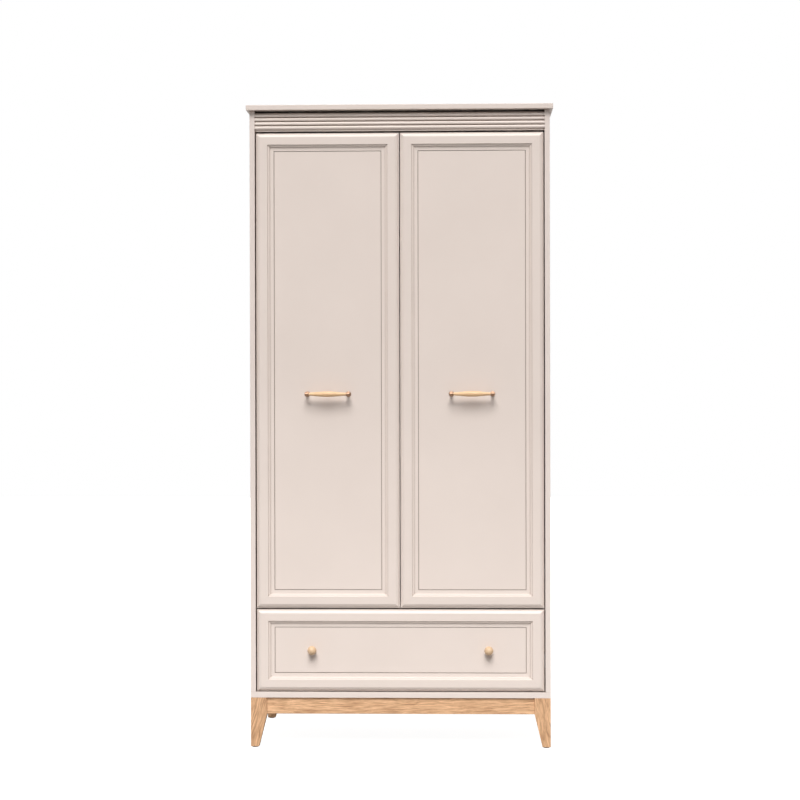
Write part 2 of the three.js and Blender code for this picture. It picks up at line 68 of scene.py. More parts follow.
class Body(Enum):
    """The bodies that pieces ride on."""

    CARCASS = "carcass"
    LEFT_DOOR = "left_door"
    RIGHT_DOOR = "right_door"
    DRAWER = "drawer"
    LEFT_CARRIAGE = "left_slide_carriage"
    RIGHT_CARRIAGE = "right_slide_carriage"


class Slot(Enum):
    """The record's material slots."""

    BOARD = "lacquered_board"
    OAK = "oak"
    BEECH = "beech"
    BRONZE = "copper_bronze"
    ZINC = "zinc_steel"
    CHROME = "chromed_tube"
    HARDBOARD = "hardboard"
    DRAWER_BOARD = "drawer_board"
    PLASTIC = "plastic_trim"
    FELT = "felt"


class Half(Enum):
    """One of two halves of the wardrobe, with the sign of its direction from the middle."""

    @property
    def word(self) -> str:
        """The half's name in the pieces' names."""
        return self.name.lower()


class Side(Half):
    """The left and right halves, along x."""

    LEFT = -1
    RIGHT = 1


class End(Half):
    """The front and rear halves, along y."""

    FRONT = -1
    REAR = 1


# ---------------------------------------------------------------- finishes


def linear(hex_colour: str) -> tuple[float, float, float, float]:
    """Turns an sRGB hex colour into the linear colour that shaders take.

    Args:
        hex_colour: six hex digits, with or without a leading hash.

    Returns:
        Linear red, green, blue and an alpha of 1.
    """
    digits = hex_colour.lstrip("#")
    channels = [int(digits[i : i + 2], 16) / 255 for i in (0, 2, 4)]
    red, green, blue = (c / 12.92 if c <= 0.04045 else ((c + 0.055) / 1.055) ** 2.4 for c in channels)
    return red, green, blue, 1.0


def add_node(
    tree: bpy.types.NodeTree,
    kind: str,
    inputs: Mapping[str | int, object] | None = None,
    output: str | int | None = None,
    stops: Sequence[tuple[float, str | float]] = (),
    **settings: object,
) -> bpy.types.Node | bpy.types.NodeSocket:
    """Adds one node, with its settings, its values and its links.

    Args:
        tree: the material's or world's node tree.
        kind: the node's type name.
        inputs: socket name or number to a value, or to the output socket that feeds it.
        output: the output socket that is wanted, by name or number.
        stops: a colour ramp's places and colours, where a colour is a hex string or one grey value.
        **settings: the node's own properties.

    Returns:
        The wanted output socket, or the node itself when none is named.
    """
    node = tree.nodes.new(kind)
    for key, value in settings.items():
        setattr(node, key, value)
    for key, value in (inputs or {}).items():
        if isinstance(value, bpy.types.NodeSocket):
            tree.links.new(value, node.inputs[key])
        else:
            node.inputs[key].default_value = value
    elements = node.color_ramp.elements if stops else ()
    while len(elements) < len(stops):
        elements.new(0.5)
    for element, (place, colour) in zip(elements, stops):
        element.position = place
        element.color = linear(colour) if isinstance(colour, str) else (colour, colour, colour, 1)
    return node if output is None else node.outputs[output]


def new_material(name: str) -> tuple[bpy.types.Material, bpy.types.NodeTree, bpy.types.Node]:
    """Starts an empty material with one surface shader.

    Args:
        name: the material's name.

    Returns:
        The material, its node tree and its surface shader.
    """
    material = bpy.data.materials.new(name)
    material.use_nodes = True
    tree = material.node_tree
    tree.nodes.clear()
    shader = add_node(tree, "ShaderNodeBsdfPrincipled")
    add_node(tree, "ShaderNodeOutputMaterial", {"Surface": shader.outputs["BSDF"]})
    return material, tree, shader


@dataclass(frozen=True)
class SatinFoil:
    """Fibreboard in a sprayed satin film: a calm, even colour with a faint orange peel.

    The eye reads a soft, dry sheen that slides along the mouldings, no grain at all, and a greyer tone
    in the creases of the mouldings, where shade is painted into the colour.
    """

    name: str
    colour: str
    shade: str
    roughness: float = 0.42
    cloud_mm: float = 260
    peel_mm: float = 1.6
    peel_depth_mm: float = 0.02
    # Painted shade: the colour that the creases are darkened towards, how far the room round a point is
    # felt, and the span of room over which the shade fades out.
    crease: str = "#957D6E"
    crease_mm: float = 7
    crease_span: tuple[float, float] = (0.35, 0.95)

    def make(self) -> bpy.types.Material:
        """Builds the material."""
        material, tree, shader = new_material(self.name)
        place = add_node(tree, "ShaderNodeTexCoord", output="Object")
        clouds = {"Vector": place, "Scale": 1 / (self.cloud_mm * MM), "Detail": 3.0}
        cloud = add_node(tree, "ShaderNodeTexNoise", clouds, "Fac")
        tones = [(0.3, self.shade), (0.7, self.colour)]
        film = add_node(tree, "ShaderNodeValToRGB", {"Fac": cloud}, "Color", tones)
        # Painted shade: the room in front of a point tells the open faces from the creases, and the
        # creases are darkened towards the painted shade's colour.
        room = add_node(
            tree, "ShaderNodeAmbientOcclusion", {"Distance": self.crease_mm * MM}, "AO", samples=8
        )
        least, most = self.crease_span
        opening = {"Value": room, "From Min": least, "From Max": most}
        unshaded = add_node(tree, "ShaderNodeMapRange", opening, "Result")
        layers = {0: unshaded, 6: linear(self.crease), 7: film}
        tone = add_node(tree, "ShaderNodeMix", layers, 2, data_type="RGBA")
        patches = {"Value": cloud, "To Min": self.roughness - 0.04, "To Max": self.roughness + 0.05}
        sheen = add_node(tree, "ShaderNodeMapRange", patches, "Result")
        grain = {"Vector": place, "Scale": 1 / (self.peel_mm * MM), "Detail": 2.0}
        peel = add_node(tree, "ShaderNodeTexNoise", grain, "Fac")
        relief = {"Height": peel, "Strength": 0.5, "Distance": self.peel_depth_mm * MM}
        bump = add_node(tree, "ShaderNodeBump", relief, "Normal")
        tree.links.new(tone, shader.inputs["Base Color"])
        tree.links.new(sheen, shader.inputs["Roughness"])
        tree.links.new(bump, shader.inputs["Normal"])
        shader.inputs["IOR"].default_value = 1.48
        return material


@dataclass(frozen=True)
class Timber:
    """Solid wood under a thin clear finish.

    The eye reads long, fine, wavy streaks first, then growth rings as soft bands among them, darker
    dashes where pores are cut open, and a slow drift of tone from one end of a piece to the other.
    """

    name: str
    spring: str
    summer: str
    pore: str
    ring_mm: float
    wander_mm: float
    streak_mm: float
    streak_share: float
    pore_mm: float
    pore_share: float
    roughness: float
    bend_mm: tuple[float, float] = (150, 60)
    fade_mm: tuple[float, float] = (430, 95)
    streak_long: float = 18
    pore_long: float = 40

    def make(
        self, label: str, centre: Vector, turn: Euler, pith: tuple[float, float], dark: float = 0
    ) -> bpy.types.Material:
        """Builds the material for one piece.

        Args:
            label: what the piece is, for the material's name.
            centre: where the pattern is centred.
            turn: turns the pattern's x axis, the grain, to lie along the piece.
            pith: how far the tree's centre lies from the piece's, across the grain, in millimetres.
            dark: how much darker than its fellows the piece is, as a share of the summer wood's tone.

        Returns:
            The material.
        """
        material, tree, shader = new_material(f"{self.name}_{label}")
        place = add_node(tree, "ShaderNodeTexCoord", output="Object")
        lie = {"Vector": place, "Location": centre, "Rotation": turn}
        local = add_node(tree, "ShaderNodeMapping", lie, "Vector", vector_type="TEXTURE")
        # Slow bends of the grain, drawn out along it. Each pattern's sizes are along and across the grain.
        patterns = {
            "bend": (*self.bend_mm, 2.5),
            "fade": (*self.fade_mm, 4.0),
            "streaks": (self.streak_mm * self.streak_long, self.streak_mm, 3.0),
            "pores": (self.pore_mm * self.pore_long, self.pore_mm, 2.0),
        }
        reach = 2 * self.wander_mm * MM
        moved = local
        noises = {}
        for kind, (long, wide, detail) in patterns.items():
            source = local if kind == "fade" else moved
            sizes = (1 / (long * MM), 1 / (wide * MM), 1 / (wide * MM))
            stretch = {0: source, 1: sizes}
            drawn = add_node(tree, "ShaderNodeVectorMath", stretch, "Vector", operation="MULTIPLY")
            unit = {"Vector": drawn, "Scale": 1.0, "Detail": detail, "Roughness": 0.6}
            output = "Color" if kind == "bend" else "Fac"
            noises[kind] = add_node(tree, "ShaderNodeTexNoise", unit, output)
            if kind == "bend":
                level = {0: noises[kind], 1: (0.5, 0.5, 0.5)}
                bend = add_node(tree, "ShaderNodeVectorMath", level, "Vector", operation="SUBTRACT")
                path = {0: bend, 1: (0, reach, reach), 2: local}
                moved = add_node(tree, "ShaderNodeVectorMath", path, "Vector", operation="MULTIPLY_ADD")
        # Rings round the pith: only the two directions across the grain count.
        trunk = {0: moved, 1: (0.04, 1, 1), 2: (0, pith[0] * MM, pith[1] * MM)}
        across = add_node(tree, "ShaderNodeVectorMath", trunk, "Vector", operation="MULTIPLY_ADD")
        radius = add_node(tree, "ShaderNodeVectorMath", {0: across}, "Value", operation="LENGTH")
        years = {0: radius, 1: 1 / (self.ring_mm * MM)}
        count = add_node(tree, "ShaderNodeMath", years, "Value", operation="MULTIPLY")
        year = add_node(tree, "ShaderNodeMath", {0: count}, "Value", operation="FRACT")
        growth = [(0.0, 0.0), (0.55, 0.35), (0.9, 1.0), (1.0, 0.0)]
        band = add_node(tree, "ShaderNodeValToRGB", {"Fac": year}, "Color", growth)
        # The rings fade in and out along the piece, among long, thin streaks of lighter and darker fibre.
        # Open pores are short dashes along the grain, duller than the wood round them.
        edge = 0.5 + 0.25 * (1 - self.pore_share)
        spans = {
            "fade": (0.3, 0.7, 0.1, 0.8),
            "streaks": (0.36, 0.72, dark, dark + 1),
            "pores": (edge, edge + 0.2, 0, 1),
        }
        shares = {}
        for kind, (low, high, least, most) in spans.items():
            span = {"From Min": low, "From Max": high, "To Min": least, "To Max": most}
            span["Value"] = noises[kind]
            shares[kind] = add_node(tree, "ShaderNodeMapRange", span, "Result")
        faded = {0: band, 1: shares["fade"]}
        rings = add_node(tree, "ShaderNodeMath", faded, "Value", operation="MULTIPLY")
        fibres = {0: self.streak_share, 2: rings, 3: shares["streaks"]}
        depth = add_node(tree, "ShaderNodeMix", fibres, 0, clamp_factor=True)
        tones = [(0.0, self.spring), (1.0, self.summer)]
        wood = add_node(tree, "ShaderNodeValToRGB", {"Fac": depth}, "Color", tones)
        cut = shares["pores"]
        layers = {0: cut, 6: wood, 7: linear(self.pore)}
        colour = add_node(tree, "ShaderNodeMix", layers, 2, data_type="RGBA", clamp_factor=True)
        relief = {"Height": cut, "Strength": 0.6, "Distance": 0.06 * MM}
        bump = add_node(tree, "ShaderNodeBump", relief, "Normal", invert=True)
        dullness = {"Value": cut, "To Min": self.roughness, "To Max": self.roughness + 0.25}
        sheen = add_node(tree, "ShaderNodeMapRange", dullness, "Result")
        tree.links.new(colour, shader.inputs["Base Color"])
        tree.links.new(sheen, shader.inputs["Roughness"])
        tree.links.new(bump, shader.inputs["Normal"])
        shader.inputs["IOR"].default_value = 1.5
        return material


@dataclass(frozen=True)
class PlatedMetal:
    """Metal with a plated and lightly brushed skin: a coloured mirror, blurred along fine scratches."""

    name: str
    colour: str
    roughness: float
    brush_mm: float = 0.5
    brush_long_mm: float = 18
    stretch: tuple[float, float, float] = (1, 0, 0)

    def make(self) -> bpy.types.Material:
        """Builds the material."""
        material, tree, shader = new_material(self.name)
        place = add_node(tree, "ShaderNodeTexCoord", output="Object")
        fine, long = 1 / (self.brush_mm * MM), 1 / (self.brush_long_mm * MM)
        scale = tuple(long if share else fine for share in self.stretch)
        lines = add_node(
            tree, "ShaderNodeVectorMath", {0: place, 1: scale}, "Vector", operation="MULTIPLY"
        )
        scratches = {"Vector": lines, "Scale": 1.0, "Detail": 3.0}
        brush = add_node(tree, "ShaderNodeTexNoise", scratches, "Fac")
        blur = {"Value": brush, "To Min": self.roughness * 0.8, "To Max": self.roughness * 1.25}
        spread = add_node(tree, "ShaderNodeMapRange", blur, "Result")
        relief = {"Height": brush, "Strength": 0.3, "Distance": 0.01 * MM}
        bump = add_node(tree, "ShaderNodeBump", relief, "Normal")
        shader.inputs["Base Color"].default_value = linear(self.colour)
        shader.inputs["Metallic"].default_value = 1.0
        tree.links.new(spread, shader.inputs["Roughness"])
        tree.links.new(bump, shader.inputs["Normal"])
        return material


@dataclass(frozen=True)
class PressedFibre:
    """Pressed wood fibre or moulded plastic: a dull skin with fine specks of two tones."""

    name: str
    colour: str
    fleck: str
    roughness: float
    fleck_mm: float
    relief_mm: float = 0.03

    def make(self) -> bpy.types.Material:
        """Builds the material."""
        material, tree, shader = new_material(self.name)
        place = add_node(tree, "ShaderNodeTexCoord", output="Object")
        fibres = {"Vector": place, "Scale": 1 / (self.fleck_mm * MM), "Detail": 5.0}
        specks = add_node(tree, "ShaderNodeTexNoise", fibres, "Fac")
        tones = [(0.38, self.fleck), (0.62, self.colour)]
        tone = add_node(tree, "ShaderNodeValToRGB", {"Fac": specks}, "Color", tones)
        relief = {"Height": specks, "Strength": 0.4, "Distance": self.relief_mm * MM}
        bump = add_node(tree, "ShaderNodeBump", relief, "Normal")
        tree.links.new(tone, shader.inputs["Base Color"])
        tree.links.new(bump, shader.inputs["Normal"])
        shader.inputs["Roughness"].default_value = self.roughness
        return material


CASHMERE = SatinFoil("cashmere_satin_lacquer", "#E4D6CD", "#E1D3CA")
EDGE_BAND = SatinFoil("cashmere_abs_edge_band", "#E4D7CF", "#E1D3CB", roughness=0.36)
DRAWER_FOIL = SatinFoil("white_foil_drawer_board", "#EFEBE5", "#EAE5DE", roughness=0.5, peel_mm=0.8)
OAK = Timber(
    "oiled_oak",
    spring="#F0C297",
    summer="#8A5A34",
    pore="#7A4D2D",
    ring_mm=6.5,
    wander_mm=10,
    streak_mm=3.4,
    streak_share=0.7,
    pore_mm=0.8,
    pore_share=0.5,
    roughness=0.55,
)
MAPLE = Timber(
    "lacquered_maple",
    spring="#EFC89C",
    summer="#D3A26F",
    pore="#CF9F6E",
    ring_mm=2.6,
    wander_mm=3,
    streak_mm=1.5,
    streak_share=0.5,
    pore_mm=0.35,
    pore_share=0.2,
    roughness=0.38,
)
PALE_MAPLE = replace(
    MAPLE,
    name="lacquered_pale_maple",
    spring="#E0C19E",
    summer="#C6A27D",
    pore="#B8936C",
    roughness=0.4,
)
BRONZE = PlatedMetal("copper_bronze_plating", "#B8967D", 0.5)
ZINC = PlatedMetal("bright_zinc_plating", "#C9CBCD", 0.3, stretch=(0, 1, 0))
CHROME = PlatedMetal("polished_chrome", "#E2E4E6", 0.1)
# Real hardboard's flecks are a millimetre long: they are drawn coarser, so that they show from a distance.
RAW_HARDBOARD = PressedFibre("raw_hardboard", "#BB9872", "#8F6C48", 0.8, 8)
PRINTED_HARDBOARD = PressedFibre("printed_hardboard", "#E6D9CF", "#E2D5CB", 0.55, 2.2, 0.01)
NYLON = PressedFibre("moulded_nylon", "#DDD6CC", "#D6CFC4", 0.5, 0.7, 0.01)
FELT = PressedFibre("brown_felt", "#7A5C42", "#5F4632", 0.95, 0.5, 0.1)
STUDIO_PAPER = PressedFibre("matt_studio_paper", "#A0A09F", "#9D9C9B", 0.9, 4.0, 0.02)


# ---------------------------------------------------------------- modelling tools


@dataclass(frozen=True)
class Box:
    """An upright box between two corners, in metres."""

    low: Vector
    high: Vector

    @classmethod
    def of(cls, *nodes: str) -> "Box":
        """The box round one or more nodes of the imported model."""
        corners = [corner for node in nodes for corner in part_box(node)]
        low, high = (Vector(map(pick, *corners)) for pick in (min, max))
        return cls(low, high)

    @property
    def size(self) -> Vector:
        """Width, depth and height."""
        return self.high - self.low

    @property
    def centre(self) -> Vector:
        """The middle of the box."""
        return (self.low + self.high) / 2

    def corner(self, x_sign: int, y_sign: int) -> Vector:
        """One of the four bottom corners, by the signs of its x and y directions from the middle."""
        x = (self.low if x_sign < 0 else self.high).x
        y = (self.low if y_sign < 0 else self.high).y
        return Vector((x, y, self.low.z))


def select_only(*objects: bpy.types.Object) -> None:
    """Selects these objects and nothing else, and makes the first one active."""
    bpy.ops.object.select_all(action="DESELECT")
    for item in objects:
        item.select_set(True)
    bpy.context.view_layer.objects.active = objects[0]


def add_object(operator: Callable[..., set[str]], **settings: object) -> bpy.types.Object:
    """Adds one object with nothing else selected.

    Args:
        operator: the operator that adds it.
        **settings: the operator's own settings.

    Returns:
        The new object.
    """
    bpy.ops.object.select_all(action="DESELECT")
    operator(**settings)
    return bpy.context.object


@contextmanager
def editing(item: bpy.types.Object) -> Iterator[None]:
    """Opens one object alone in edit mode with all of it selected, and closes it afterwards."""
    select_only(item)
    bpy.ops.object.mode_set(mode="EDIT")
    bpy.ops.mesh.select_mode(type="VERT")
    bpy.ops.mesh.select_all(action="SELECT")
    yield
    bpy.ops.object.mode_set(mode="OBJECT")


def pick_edges(item: bpy.types.Object, test: Test) -> None:
    """Selects edges in edit mode.

    Args:
        item: the object being edited.
        test: takes an edge's middle and its unit direction, and says whether it is wanted.
    """
    bpy.ops.mesh.select_mode(type="EDGE")
    bpy.ops.mesh.select_all(action="DESELECT")
    mesh = bmesh.from_edit_mesh(item.data)
    for edge in mesh.edges:
        start, end = (vertex.co for vertex in edge.verts)
        edge.select_set(test((start + end) / 2, (end - start).normalized()))
    bmesh.update_edit_mesh(item.data)


def pick_faces(item: bpy.types.Object, test: Test) -> None:
    """Selects faces in edit mode.

    Args:
        item: the object being edited.
        test: takes a face's middle and its normal, and says whether it is wanted.
    """
    bpy.ops.mesh.select_mode(type="FACE")
    bpy.ops.mesh.select_all(action="DESELECT")
    mesh = bmesh.from_edit_mesh(item.data)
    for face in mesh.faces:
        face.select_set(test(face.calc_center_median(), face.normal))
    bmesh.update_edit_mesh(item.data)


def eased(points: Sequence[Vector], radius: float, steps: int = 2) -> list[Vector]:
    """Rounds the corners of a closed outline that turn by more than about 20 degrees.

    Args:
        points: the outline's corners in order.
        radius: how far from the corner the rounding starts.
        steps: straight steps in each rounding.

    Returns:
        The outline with its corners rounded.
    """
    made = []
    for before, here, after in zip([points[-1], *points[:-1]], points, [*points[1:], points[0]]):
        back, on = before - here, after - here
        if back.angle(on) > math.radians(160):
            made.append(here)
            continue
        start = here + back.normalized() * min(radius, back.length * 0.45)
        end = here + on.normalized() * min(radius, on.length * 0.45)
        for step in range(steps + 1):
            share = step / steps
            made.append(start.lerp(here, share).lerp(here.lerp(end, share), share))
    return made


def arc(
    centre: Vector, first: Vector, second: Vector, start: float, end: float, steps: int
) -> list[Vector]:
    """Points along a quarter, half or whole ellipse.

    Args:
        centre: the ellipse's middle.
        first: the half axis at angle 0.
        second: the half axis at a right angle to it.
        start: the first angle in degrees.
        end: the last angle in degrees.
        steps: straight steps between them.

    Returns:
        The points, both ends included.
    """
    angles = [math.radians(start + (end - start) * step / steps) for step in range(steps + 1)]
    return [centre + first * math.cos(angle) + second * math.sin(angle) for angle in angles]


class Piece:
    """One solid piece, shaped with Blender's own tools. Its place is always in its mesh."""

    def __init__(self, name: str, item: bpy.types.Object) -> None:
        """Names a new object and puts its place into its mesh."""
        self.item = item
        item.name = name
        item.data.name = name
        self.settle()

    def settle(self) -> None:
        """Moves the object's place, turn and scale into its mesh."""
        select_only(self.item)
        bpy.ops.object.transform_apply(location=True, rotation=True, scale=True)

    @classmethod
    def block(cls, name: str, low: Vector, high: Vector) -> "Piece":
        """Starts from a cube that fills the box between two corners."""
        middle, size = (low + high) / 2, high - low
        cube = add_object(bpy.ops.mesh.primitive_cube_add, size=1, location=middle, scale=size)
        return cls(name, cube)

    @classmethod
    def rod(cls, name: str, start: Vector, end: Vector, radius: float, sides: int = 32) -> "Piece":
        """Starts from a cylinder between two points."""
        run = end - start
        turn = run.to_track_quat("Z", "Y").to_euler()
        size = {"vertices": sides, "radius": radius, "depth": run.length}
        add = bpy.ops.mesh.primitive_cylinder_add
        return cls(name, add_object(add, location=(start + end) / 2, rotation=turn, **size))

    @classmethod
    def line(cls, name: str, points: Sequence[Vector]) -> "Piece":
        """Draws an open line point by point, by extruding one vertex, and leaves it as edges."""
        piece = cls(name, add_object(bpy.ops.mesh.primitive_plane_add, size=MM, location=points[0]))
        with editing(piece.item):
            bpy.ops.mesh.merge(type="CENTER")
            for here, there in zip(points, points[1:]):
                bpy.ops.mesh.extrude_region_move(TRANSFORM_OT_translate={"value": there - here})
        return piece

    @classmethod
    def drawn(cls, name: str, outline: Sequence[Vector], along: Vector) -> "Piece":
        """Draws a closed outline, fills it and extrudes it.

        Args:
            name: the piece's name.
            outline: the outline's corners, all in one plane.
            along: how far and which way the outline is extruded.

        Returns:
            The new piece.
        """
        piece = cls.line(name, outline)
        with editing(piece.item):
            bpy.ops.mesh.edge_face_add()
            bpy.ops.mesh.extrude_region_move(TRANSFORM_OT_translate={"value": along})
            bpy.ops.mesh.select_all(action="SELECT")
            bpy.ops.mesh.normals_make_consistent(inside=False)
        return piece

    @classmethod
    def turned(
        cls, name: str, profile: Sequence[tuple[float, float]], foot: Vector, axis: Vector, steps: int = 40
    ) -> "Piece":
        """Turns a profile about an axis, as on a lathe.

        Args:
            name: the piece's name.
            profile: radius and height pairs that start and end on the axis.
            foot: the point on the axis at height 0.
            axis: the axis's direction.
            steps: how many facets go round.

        Returns:
            The new piece, closed at its poles.
        """
        out = axis.orthogonal().normalized()
        points = [foot + axis * height + out * radius for radius, height in profile]
        piece = cls.line(name, points)
        with editing(piece.item):
            bpy.ops.mesh.spin(steps=steps, angle=math.tau, center=foot, axis=axis)
            bpy.ops.mesh.select_all(action="SELECT")
            bpy.ops.mesh.remove_doubles(threshold=0.002 * MM)
            bpy.ops.mesh.normals_make_consistent(inside=False)
        return piece

    def soften(self, width: float, segments: int = 2, sharpness: float = 35) -> "Piece":
        """Rounds every edge that turns by more than an angle, in degrees."""
        with editing(self.item):
            bpy.ops.mesh.select_mode(type="EDGE")
            bpy.ops.mesh.select_all(action="DESELECT")
            bpy.ops.mesh.edges_select_sharp(sharpness=math.radians(sharpness))
            bpy.ops.mesh.bevel(offset=width, segments=segments, affect="EDGES")
        return self

    def bevel(self, width: float, segments: int, test: Test) -> "Piece":
        """Rounds the edges that a test picks by their middle and direction."""
        with editing(self.item):
            pick_edges(self.item, test)
            bpy.ops.mesh.bevel(offset=width, segments=segments, affect="EDGES")
        return self

    def saw(self, through: Vector, normal: Vector) -> "Piece":
        """Cuts away what lies beyond a plane, on the side its normal points to, and closes the cut."""
        with editing(self.item):
            bpy.ops.mesh.bisect(plane_co=through, plane_no=normal, use_fill=True, clear_outer=True)
        return self

    def score(self, through: Vector, normal: Vector) -> "Piece":
        """Cuts new edges where a plane crosses the piece, and keeps both sides."""
        with editing(self.item):
            bpy.ops.mesh.bisect(plane_co=through, plane_no=normal)
        return self

    def push(self, test: Test, inset: float, depth: float) -> "Piece":
        """Insets the faces that a test picks by their middle and normal, and sinks or raises them.

        Args:
            test: picks the faces.
            inset: width of the margin that stays.
            depth: how far the inner part rises, negative to sink.

        Returns:
            This piece.
        """
        with editing(self.item):
            pick_faces(self.item, test)
            bpy.ops.mesh.inset(thickness=inset, depth=depth)
        return self

    def carve(self, *tools: "Piece", operation: str = "DIFFERENCE") -> "Piece":
        """Cuts other pieces out of this one, or joins them to it, and uses them up."""
        for tool in tools:
            select_only(self.item)
            bpy.ops.object.modifier_add(type="BOOLEAN")
            modifier = self.item.modifiers[-1]
            modifier.operation = operation
            modifier.object = tool.item
            modifier.solver = "EXACT"
            bpy.ops.object.modifier_apply(modifier=modifier.name)
            tool.discard()
        return self

    def absorb(self, others: Iterable["Piece"]) -> "Piece":
        """Joins other pieces into this one's object, as one group."""
        select_only(self.item, *(other.item for other in others))
        bpy.ops.object.join()
        return self

    def repeat(self, places: Sequence[Vector]) -> "Piece":
        """Joins copies of a piece that stands at the first place to it, one at each further place."""
        return self.absorb([self.copy("copy", move=place - places[0]) for place in places[1:]])

    def discard(self) -> None:
        """Removes the piece and its mesh."""
        bpy.data.meshes.remove(self.item.data)

    def copy(
        self,
        name: str,
        move: Vector | None = None,
        mirror: Vector | None = None,
        about: Vector | None = None,
    ) -> "Piece":
        """Makes a copy with its own mesh.

        Args:
            name: the copy's name.
            move: how far the copy is moved.
            mirror: the axis that the copy is mirrored along.
            about: a point of the mirror's plane, or None for the frame's origin.

        Returns:
            The copy.
        """
        select_only(self.item)
        bpy.ops.object.duplicate()
        item = bpy.context.object
        if mirror is not None:
            flip = Vector((1, 1, 1)) - 2 * mirror
            bpy.ops.transform.resize(value=flip, center_override=about or Vector())
        if move is not None:
            bpy.ops.transform.translate(value=move)
        twin = Piece(name, item)
        if mirror is not None:
            with editing(item):
                bpy.ops.mesh.flip_normals()
        return twin

    def paint(self, *finishes: bpy.types.Material) -> "Piece":
        """Gives the piece its finish, with any further finishes in the slots after it."""
        self.item.data.materials.clear()
        for finish in finishes:
            self.item.data.materials.append(finish)
        return self

    def paint_faces(self, index: int, test: Test) -> "Piece":
        """Gives one of the piece's further finishes to the faces that a test picks."""
        with editing(self.item):
            pick_faces(self.item, test)
            self.item.active_material_index = index
            bpy.ops.object.material_slot_assign()
        return self

    def fit(self, body: Body, slot: Slot, *nodes: str, angle: float = 30) -> "Piece":
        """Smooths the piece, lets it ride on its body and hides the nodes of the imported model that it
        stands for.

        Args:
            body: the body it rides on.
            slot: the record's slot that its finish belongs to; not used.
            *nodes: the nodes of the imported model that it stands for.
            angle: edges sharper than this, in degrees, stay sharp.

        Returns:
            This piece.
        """
        select_only(self.item)
        bpy.ops.object.shade_smooth_by_angle(angle=math.radians(angle))
        bpy.ops.object.modifier_add(type="WEIGHTED_NORMAL")
        self.item.modifiers[-1].keep_sharp = True
        bpy.ops.object.modifier_apply(modifier=self.item.modifiers[-1].name)
        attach(self.item, body.value)
        if nodes:
            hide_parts(*nodes)
        log.info("%s rides on %s", self.item.name, body.value)
        return self

    def fit_both(self, body: Body, slot: Slot, *nodes: str) -> None:
        """Fits a left-hand piece, and its mirror copy on the right.

        Args:
            body: the left piece's body.
            slot: the record's slot that their finish belongs to.
            *nodes: the nodes that the left piece stands for. In the copy's name, body and nodes,
                left gives way to right.
        """
        names = [self.item.name, body.value, *nodes]
        twin_name, twin_body, *twin_nodes = (name.replace("left", "right") for name in names)
        twin = self.copy(twin_name, mirror=X)
        self.fit(body, slot, *nodes)
        twin.fit(Body(twin_body), slot, *twin_nodes)


# ---------------------------------------------------------------- sub-assemblies


@dataclass(frozen=True)
class Palette:
    """Every finish that more than one piece shares, made once."""

    cashmere: bpy.types.Material = field(default_factory=CASHMERE.make)
    edge_band: bpy.types.Material = field(default_factory=EDGE_BAND.make)
    drawer_foil: bpy.types.Material = field(default_factory=DRAWER_FOIL.make)
    bronze: bpy.types.Material = field(default_factory=BRONZE.make)
    zinc: bpy.types.Material = field(default_factory=ZINC.make)
    chrome: bpy.types.Material = field(default_factory=CHROME.make)
    raw_back: bpy.types.Material = field(default_factory=RAW_HARDBOARD.make)
    printed_back: bpy.types.Material = field(default_factory=PRINTED_HARDBOARD.make)
    nylon: bpy.types.Material = field(default_factory=NYLON.make)
    felt: bpy.types.Material = field(default_factory=FELT.make)


@dataclass(frozen=True)
class ScrewHead:
    """A cross-recess screw head, the one fastener that shows all over the wardrobe."""

    radius: float = 3.4 * MM
    height: float = 1.5 * MM
    recess: float = 2.2 * MM
    recess_wide: float = 0.7 * MM
    sides: int = 16

    def make(self, name: str, place: Vector, out: Vector) -> Piece:
        """Makes one head.

        Args:
            name: the piece's name.
            place: the middle of its seat.
            out: the direction it faces.

        Returns:
            The head.
        """
        r, h = self.radius, self.height
        profile = [(0, -0.2 * MM), (r, -0.2 * MM), (r, 0.3 * h), (0.8 * r, 0.8 * h), (0.45 * r, h), (0, h)]
        head = Piece.turned(name, profile, place, out, self.sides)
        first = out.orthogonal().normalized()
        second = out.cross(first)
        for long, wide in ((first, second), (second, first)):
            half = long * self.recess + wide * self.recess_wide / 2 + out * 0.6 * h
            half = Vector(map(abs, half))
            middle = place + out * h
            head.carve(Piece.block("recess", middle - half, middle + half))
        return head


PAN_HEAD = ScrewHead(radius=3.8 * MM, height=2 * MM)


def edged_board(name: str, box: Box, palette: Palette, ease: float = 0.7 * MM) -> Piece:
    """Makes a coated board with eased arrises and an edge band glued to its front edge.

    Args:
        name: the piece's name.
        box: the board's box.
        palette: the finishes.
        ease: the radius of its arrises.

    Returns:
        The board.
    """
    band = box.low.y + 1.2 * MM
    board = Piece.block(name, box.low, box.high).score(Vector((0, band, 0)), Y).soften(ease, 3)
    board.paint(palette.cashmere, palette.edge_band)
    return board.paint_faces(1, lambda middle, normal: middle.y < band)


